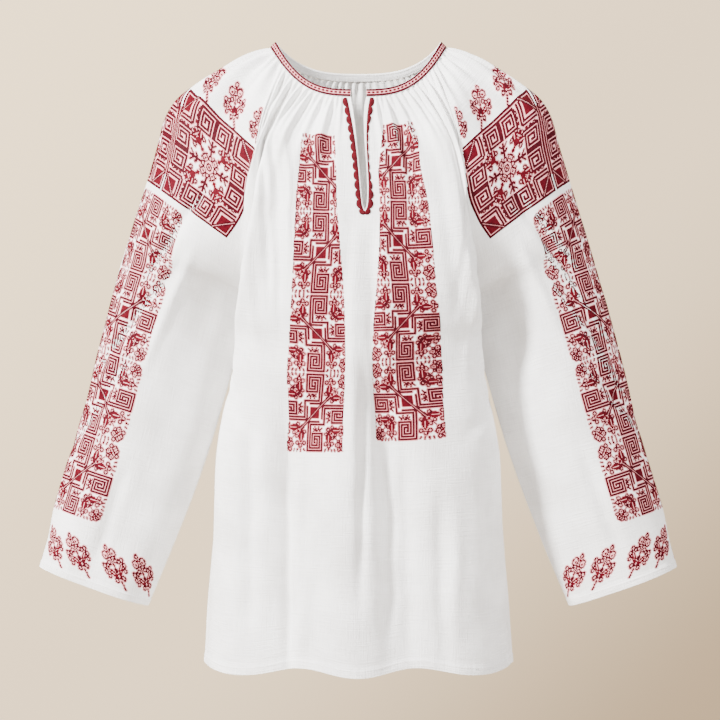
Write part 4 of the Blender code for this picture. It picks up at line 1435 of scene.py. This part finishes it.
def trim_stations(side):
    """Drops and reaches across the trim, from inner to outer edge, down one side and round its end."""
    share = np.linspace(0, 1, TRIM_ACROSS + 1)
    stations = []
    steps = SCALLOPS_PER_SIDE * STEPS_PER_SCALLOP
    turn_drop = SLIT_LENGTH - TRIM_INSET_LOW
    for k in range(steps + 1):
        drop = TRIM_TOP + (turn_drop - TRIM_TOP) * k / steps
        near_top = math.exp(-((drop / TRIM_INSET_LENGTH) ** 2))
        inset = TRIM_INSET_LOW + (TRIM_INSET_TOP - TRIM_INSET_LOW) * near_top
        swell = abs(math.sin(math.pi * k / STEPS_PER_SCALLOP)) ** SCALLOP_FULLNESS
        width = TRIM_WIDTH - TRIM_NECK + (TRIM_SCALLOP + TRIM_NECK) * swell
        if side > 0:
            width *= 1 - TRIM_TUCK * math.exp(-(((drop - TRIM_TUCK_DROP) / TRIM_TUCK_LENGTH) ** 4))
        height = TRIM_RISE_LOW + (TRIM_RISE - TRIM_RISE_LOW) * swell
        stations.append((np.full(len(share), drop), inset + width * share, height))
    for k in range(1, TRIM_TURN_STEPS + 1):
        turn = math.pi / 2 * k / TRIM_TURN_STEPS
        swell = abs(math.sin(2 * turn)) ** SCALLOP_FULLNESS
        outer = TRIM_INSET_LOW + TRIM_WIDTH + TRIM_SCALLOP * swell
        down, across = math.sin(turn), max(math.cos(turn), 0.0)
        reach = TRIM_INSET_LOW + (outer - TRIM_INSET_LOW) * share
        first = turn_drop + 2 * TRIM_INSET_LOW * down
        drops = first + (turn_drop + outer * down - first) * share
        stations.append((drops, reach * across, TRIM_RISE_LOW + (TRIM_RISE - TRIM_RISE_LOW) * swell))
    return stations


def build_trim(sheet):
    """Satin-stitched scallops down both edges of the slit, and the white beaded edge beside them."""
    spots = [(-1, station) for station in trim_stations(-1)]
    spots += [(1, station) for station in trim_stations(1)[-2::-1]]
    tops, feet, flats = [], [], []
    share = np.linspace(0, 1, TRIM_ACROSS + 1)
    dome = np.sqrt(np.clip(1 - (2 * share - 1) ** 2, 0, 1))
    for number, (side, (drops, reaches, height)) in enumerate(spots):
        top, foot = [], []
        for drop, reach, rise in zip(drops, reaches, dome * height):
            spot, way = on_front(sheet, side, drop, reach)
            top.append(spot + way * (TRIM_FOOT + rise))
            foot.append(spot + way * TRIM_FOOT / 2)
        tops.append(top)
        feet.append(foot)
        flats.append(np.stack([np.full(len(share), number * TRIM_STATION), share * TRIM_WIDTH], axis=-1))
    tops, feet, flats = np.array(tops), np.array(feet), np.array(flats)
    index = np.arange(tops.shape[0] * tops.shape[1]).reshape(tops.shape[:2])
    quads = grid_quads(index.T, 1)
    trim = shell("slit_scallops", tops, feet, flats, quads, [SATIN])

    ball, triangles = bead()
    drops = np.arange(BEAD_FIRST, SLIT_LENGTH - BEAD_LAST, BEAD_PITCH)
    points, faces = [], []
    for drop in drops:
        spot, way = on_front(sheet, -1, drop, BEAD_REACH)
        faces.append(triangles + len(points) * len(ball))
        points.append(spot + way * BEAD_RADIUS * BEAD_SINK + ball * BEAD_RADIUS)
    points, faces = np.concatenate(points), np.concatenate(faces).tolist()
    make_piece("slit_picots", points, faces, [SEWING])
    return trim


def bead():
    """A small ball of radius 1: its points and triangles."""
    rings, around = BEAD_RINGS, BEAD_AROUND
    points = [(0.0, 0.0, 1.0)]
    for k in range(1, rings):
        polar = math.pi * k / rings
        for j in range(around):
            turn = 2 * math.pi * j / around
            out = math.sin(polar)
            points.append((out * math.cos(turn), out * math.sin(turn), math.cos(polar)))
    points.append((0.0, 0.0, -1.0))
    last = len(points) - 1
    faces = []
    for j in range(around):
        follow = (j + 1) % around
        faces.append((0, 1 + j, 1 + follow))
        faces.append((last, last - around + follow, last - around + j))
        for k in range(rings - 2):
            a, b = 1 + k * around, 1 + (k + 1) * around
            faces += [(a + j, b + j, b + follow), (a + j, b + follow, a + follow)]
    return np.array(points), np.array(faces)


def node(tree, kind, inputs=None, **settings):
    """Add a node. An input given as a socket is linked, and any other is set."""
    made = tree.nodes.new(kind)
    for key, value in settings.items():
        setattr(made, key, value)
    for key, value in (inputs or {}).items():
        if isinstance(value, bpy.types.NodeSocket):
            tree.links.new(value, made.inputs[key])
        else:
            made.inputs[key].default_value = value
    return made


def new_material(name):
    material = bpy.data.materials.new(name)
    material.use_nodes = True
    return material, material.node_tree, material.node_tree.nodes["Principled BSDF"]


def scaled(tree, source, scale):
    return node(tree, "ShaderNodeMapping", {"Vector": source, "Scale": scale}).outputs["Vector"]


def ramp(tree, source, low, high, start=0.0, end=1.0):
    """Blend two colours by a value."""
    made = node(tree, "ShaderNodeValToRGB", {"Fac": source})
    first, last = made.color_ramp.elements
    first.position, first.color = start, (*low, 1)
    last.position, last.color = end, (*high, 1)
    return made.outputs["Color"]


def combined(tree, operation, first, second):
    return node(tree, "ShaderNodeMath", {0: first, 1: second}, operation=operation).outputs["Value"]


def noise(tree, place, scale, detail):
    inputs = {"Vector": place, "Scale": scale, "Detail": detail}
    return node(tree, "ShaderNodeTexNoise", inputs).outputs["Fac"]


def bands(tree, flat, direction, pitch, distortion, detail_scale):
    """Dark and light bands over the flat cloth, one at each pitch."""
    inputs = {"Vector": flat, "Scale": 2 * math.pi / (20 * pitch)}
    inputs |= {"Distortion": distortion, "Detail Scale": detail_scale}
    return node(tree, "ShaderNodeTexWave", inputs, bands_direction=direction).outputs["Fac"]


def weighed(tree, first, weight, second):
    """The first value by its weight, and the second added."""
    total = combined(tree, "MULTIPLY_ADD", first, weight)
    tree.links.new(second, total.node.inputs[2])
    return total


def raised(tree, height, strength, distance, under=None):
    inputs = {"Height": height, "Strength": strength, "Distance": distance}
    if under is not None:
        inputs["Normal"] = under
    return node(tree, "ShaderNodeBump", inputs).outputs["Normal"]


def surface(tree, shader, colour, normal, roughness, gloss):
    tree.links.new(colour, shader.inputs["Base Color"])
    tree.links.new(normal, shader.inputs["Normal"])
    shader.inputs["Roughness"].default_value = roughness
    shader.inputs["Specular IOR Level"].default_value = gloss


def woven_cloth(name, low, high, thread, sheen):
    """Linen with its threads both ways, thicker slubs here and there, and a faintly uneven white."""
    material, tree, shader = new_material(name)
    flat = node(tree, "ShaderNodeUVMap", uv_map="cloth").outputs["UV"]
    weave = combined(tree, "ADD", *[bands(tree, flat, way, thread, 0.6, 0.7) for way in ("X", "Y")])
    slub = combined(tree, "ADD", *[noise(tree, scaled(tree, flat, scale), 1.0, 2.0) for scale in SLUBS])
    tone = weighed(tree, slub, 0.35, noise(tree, flat, 16.0, 4.0))
    coarse = raised(tree, slub, 1.0, 0.0006)
    normal = raised(tree, weave, 0.4, 0.00012, coarse)
    surface(tree, shader, ramp(tree, tone, low, high, 0.55, 1.15), normal, CLOTH_ROUGHNESS, 0.25)
    shader.inputs["Sheen Weight"].default_value = sheen
    shader.inputs["Sheen Roughness"].default_value = 0.5
    return material


def thread_material(name, low, high, roughness=0.5):
    """Dyed stranded thread: its tone changes from stitch to stitch and its strands catch the light."""
    material, tree, shader = new_material(name)
    place = node(tree, "ShaderNodeTexCoord").outputs["Object"]
    colour = ramp(tree, noise(tree, place, 420.0, 3.0), low, high, 0.32, 0.68)
    normal = raised(tree, noise(tree, place, 5200.0, 1.0), 0.25, 0.00005)
    surface(tree, shader, colour, normal, roughness, 0.02)
    return material


def satin_material():
    """Satin stitch: close strands across the trim, with painted shade between them, painted highlight along
    them and a soft shine.
    """
    material, tree, shader = new_material("satin_red")
    flat = node(tree, "ShaderNodeUVMap", uv_map="cloth").outputs["UV"]
    strands = bands(tree, flat, "X", SATIN_PITCH, 1.2, 0.8)
    # The strands' stripes in the colour are painted shade in the grooves and painted highlight on the crests;
    # the noise is the thread's uneven tone.
    tone = weighed(tree, strands, 0.3, noise(tree, flat, 260.0, 2.0))
    normal = raised(tree, strands, 0.7, 0.0002)
    surface(tree, shader, ramp(tree, tone, SATIN_DARK, SATIN_LIGHT, 0.4, 0.95), normal, 0.5, 0.06)
    return material


def build_surroundings():
    """A far floor under the wearer's place, the pale backdrop with painted light and shade across it, soft
    lights and the camera.
    """
    place = (0, 0, FLOOR_Z)
    bpy.ops.mesh.primitive_circle_add(vertices=96, radius=FLOOR_RADIUS, fill_type="NGON", location=place)
    floor = bpy.context.object
    floor.name = "floor"
    material, tree, shader = new_material("plaster_floor")
    place = node(tree, "ShaderNodeTexCoord").outputs["Object"]
    colour = ramp(tree, noise(tree, place, 3.0, 6.0), FLOOR_DARK, FLOOR_LIGHT, 0.3, 0.7)
    tree.links.new(colour, shader.inputs["Base Color"])
    shader.inputs["Roughness"].default_value = 0.8
    floor.data.materials.append(material)

    world = bpy.data.worlds.new("pale_room")
    bpy.context.scene.world = world
    world.use_nodes = True
    tree = world.node_tree
    # The backdrop behind the blouse: painted light at the upper left, falling through a middle tone to
    # painted shade in the lower right corner.
    way = node(tree, "ShaderNodeTexCoord").outputs["Generated"]
    split = node(tree, "ShaderNodeSeparateXYZ", {"Vector": way})
    fall = combined(tree, "SUBTRACT", split.outputs["X"], split.outputs["Z"])
    limits = {"From Min": -BACKDROP_REACH, "From Max": BACKDROP_REACH}
    share = node(tree, "ShaderNodeMapRange", {"Value": fall, **limits}).outputs["Result"]
    shades = node(tree, "ShaderNodeValToRGB", {"Fac": share})
    shades.color_ramp.interpolation = "EASE"
    first, last = shades.color_ramp.elements
    first.color, last.color = (*BACKDROP_LIGHT, 1), (*BACKDROP_CORNER_SHADE, 1)
    middle = shades.color_ramp.elements.new(BACKDROP_MIDDLE_AT)
    middle.color = (*BACKDROP_MIDDLE, 1)
    background = tree.nodes["Background"]
    limits = dict(zip(("From Min", "From Max"), BACKDROP_AHEAD))
    ahead = node(tree, "ShaderNodeMapRange", {"Value": split.outputs["Y"], **limits})
    ahead.interpolation_type = "SMOOTHSTEP"
    room = node(tree, "ShaderNodeMix", {"Factor": ahead.outputs["Result"]}, data_type="RGBA")
    room.inputs[6].default_value = (*ROOM_LIGHT, 1)
    tree.links.new(shades.outputs["Color"], room.inputs[7])
    tree.links.new(room.outputs[2], background.inputs["Color"])
    background.inputs["Strength"].default_value = BACKDROP_STRENGTH

    for name, place, target, size, power, colour in LIGHTS:
        light = bpy.data.lights.new(name, "AREA")
        light.shape, light.size, light.energy, light.color = "DISK", size, power, colour
        lamp = bpy.data.objects.new(name, light)
        bpy.context.collection.objects.link(lamp)
        lamp.location = place
        lamp.rotation_euler = (Vector(target) - Vector(place)).to_track_quat("-Z", "Y").to_euler()

    camera = bpy.data.cameras.new("camera")
    camera.lens = camera.sensor_width / 2 / (VIEW_HALF_WIDTH / CAMERA_DISTANCE)
    camera.clip_end = 50
    eye = bpy.data.objects.new("camera", camera)
    bpy.context.collection.objects.link(eye)
    eye.location = (CAMERA_X, -CAMERA_DISTANCE, CAMERA_Z)
    eye.rotation_euler = (math.pi / 2, 0, 0)
    bpy.context.scene.camera = eye


CLOTH, BAND_CLOTH = (
    woven_cloth(name, CLOTH_SHADE, CLOTH_WHITE, THREAD_PITCH, CLOTH_SHEEN)
    for name in ("white_linen", "band_linen")
)
LINE_THREAD = thread_material("dark_red_thread", LINE_DARK, LINE_LIGHT)
FILL_THREAD = thread_material("red_thread", FILL_DARK, FILL_LIGHT)
TINTED_CLOTH = thread_material("tinted_linen", TINT_DARK, TINT_LIGHT, CLOTH_ROUGHNESS)
FRONT_TINTED_CLOTH = thread_material(
    "front_tinted_linen", FRONT_TINT_DARK, FRONT_TINT_LIGHT, CLOTH_ROUGHNESS
)
STITCH_MATERIALS = [LINE_THREAD, FILL_THREAD, TINTED_CLOTH]
FRONT_STITCH_MATERIALS = [LINE_THREAD, FILL_THREAD, FRONT_TINTED_CLOTH]
SEWING = thread_material("white_thread", SEWING_DARK, SEWING_LIGHT, SEWING_ROUGHNESS)
SATIN = satin_material()

front, back = make_front(), make_back()
left = make_sleeve(left_sleeve_shape, LEFT_SLEEVE_FOLDS, LEFT_SLEEVE_CREASES, 1, 0.9)
right = make_sleeve(right_sleeve_shape, RIGHT_SLEEVE_FOLDS, RIGHT_SLEEVE_CREASES, -1, 2.6)
sew_armhole(front, back, left, -1)
sew_armhole(front, back, right, 0)
for sheet in (front, back, left, right):
    sheet.outside = sheet.outer()

front_cloth = build_panel("front_cloth", front)
back_cloth = build_panel("back_cloth", back)
left_cloth = build_panel("sleeve_left_cloth", left)
right_cloth = build_panel("sleeve_right_cloth", right)
band_cloth = build_band()
scallops = build_trim(front)

tile = tile_chart()
front_work = Work(1)
front_band(front, tile, -1, front_work)
front_band(front, tile, 1, front_work)
front_stitches = front_work.build("front_stitches", FRONT_STITCH_MATERIALS, "red_trim")
left_stitches = sew_sleeve(left, "sleeve_left")
right_stitches = sew_sleeve(right, "sleeve_right")
front_hem = edge_sewing(front, "front_hem_sewing")
back_hem = edge_sewing(back, "back_hem_sewing")
left_hem = edge_sewing(left, "sleeve_left_cuff_sewing")
right_hem = edge_sewing(right, "sleeve_right_cuff_sewing")

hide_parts("front")
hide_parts("back")
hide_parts("sleeve_left")
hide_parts("sleeve_right")
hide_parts("neck_band")
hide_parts("slit_trim")

build_surroundings()
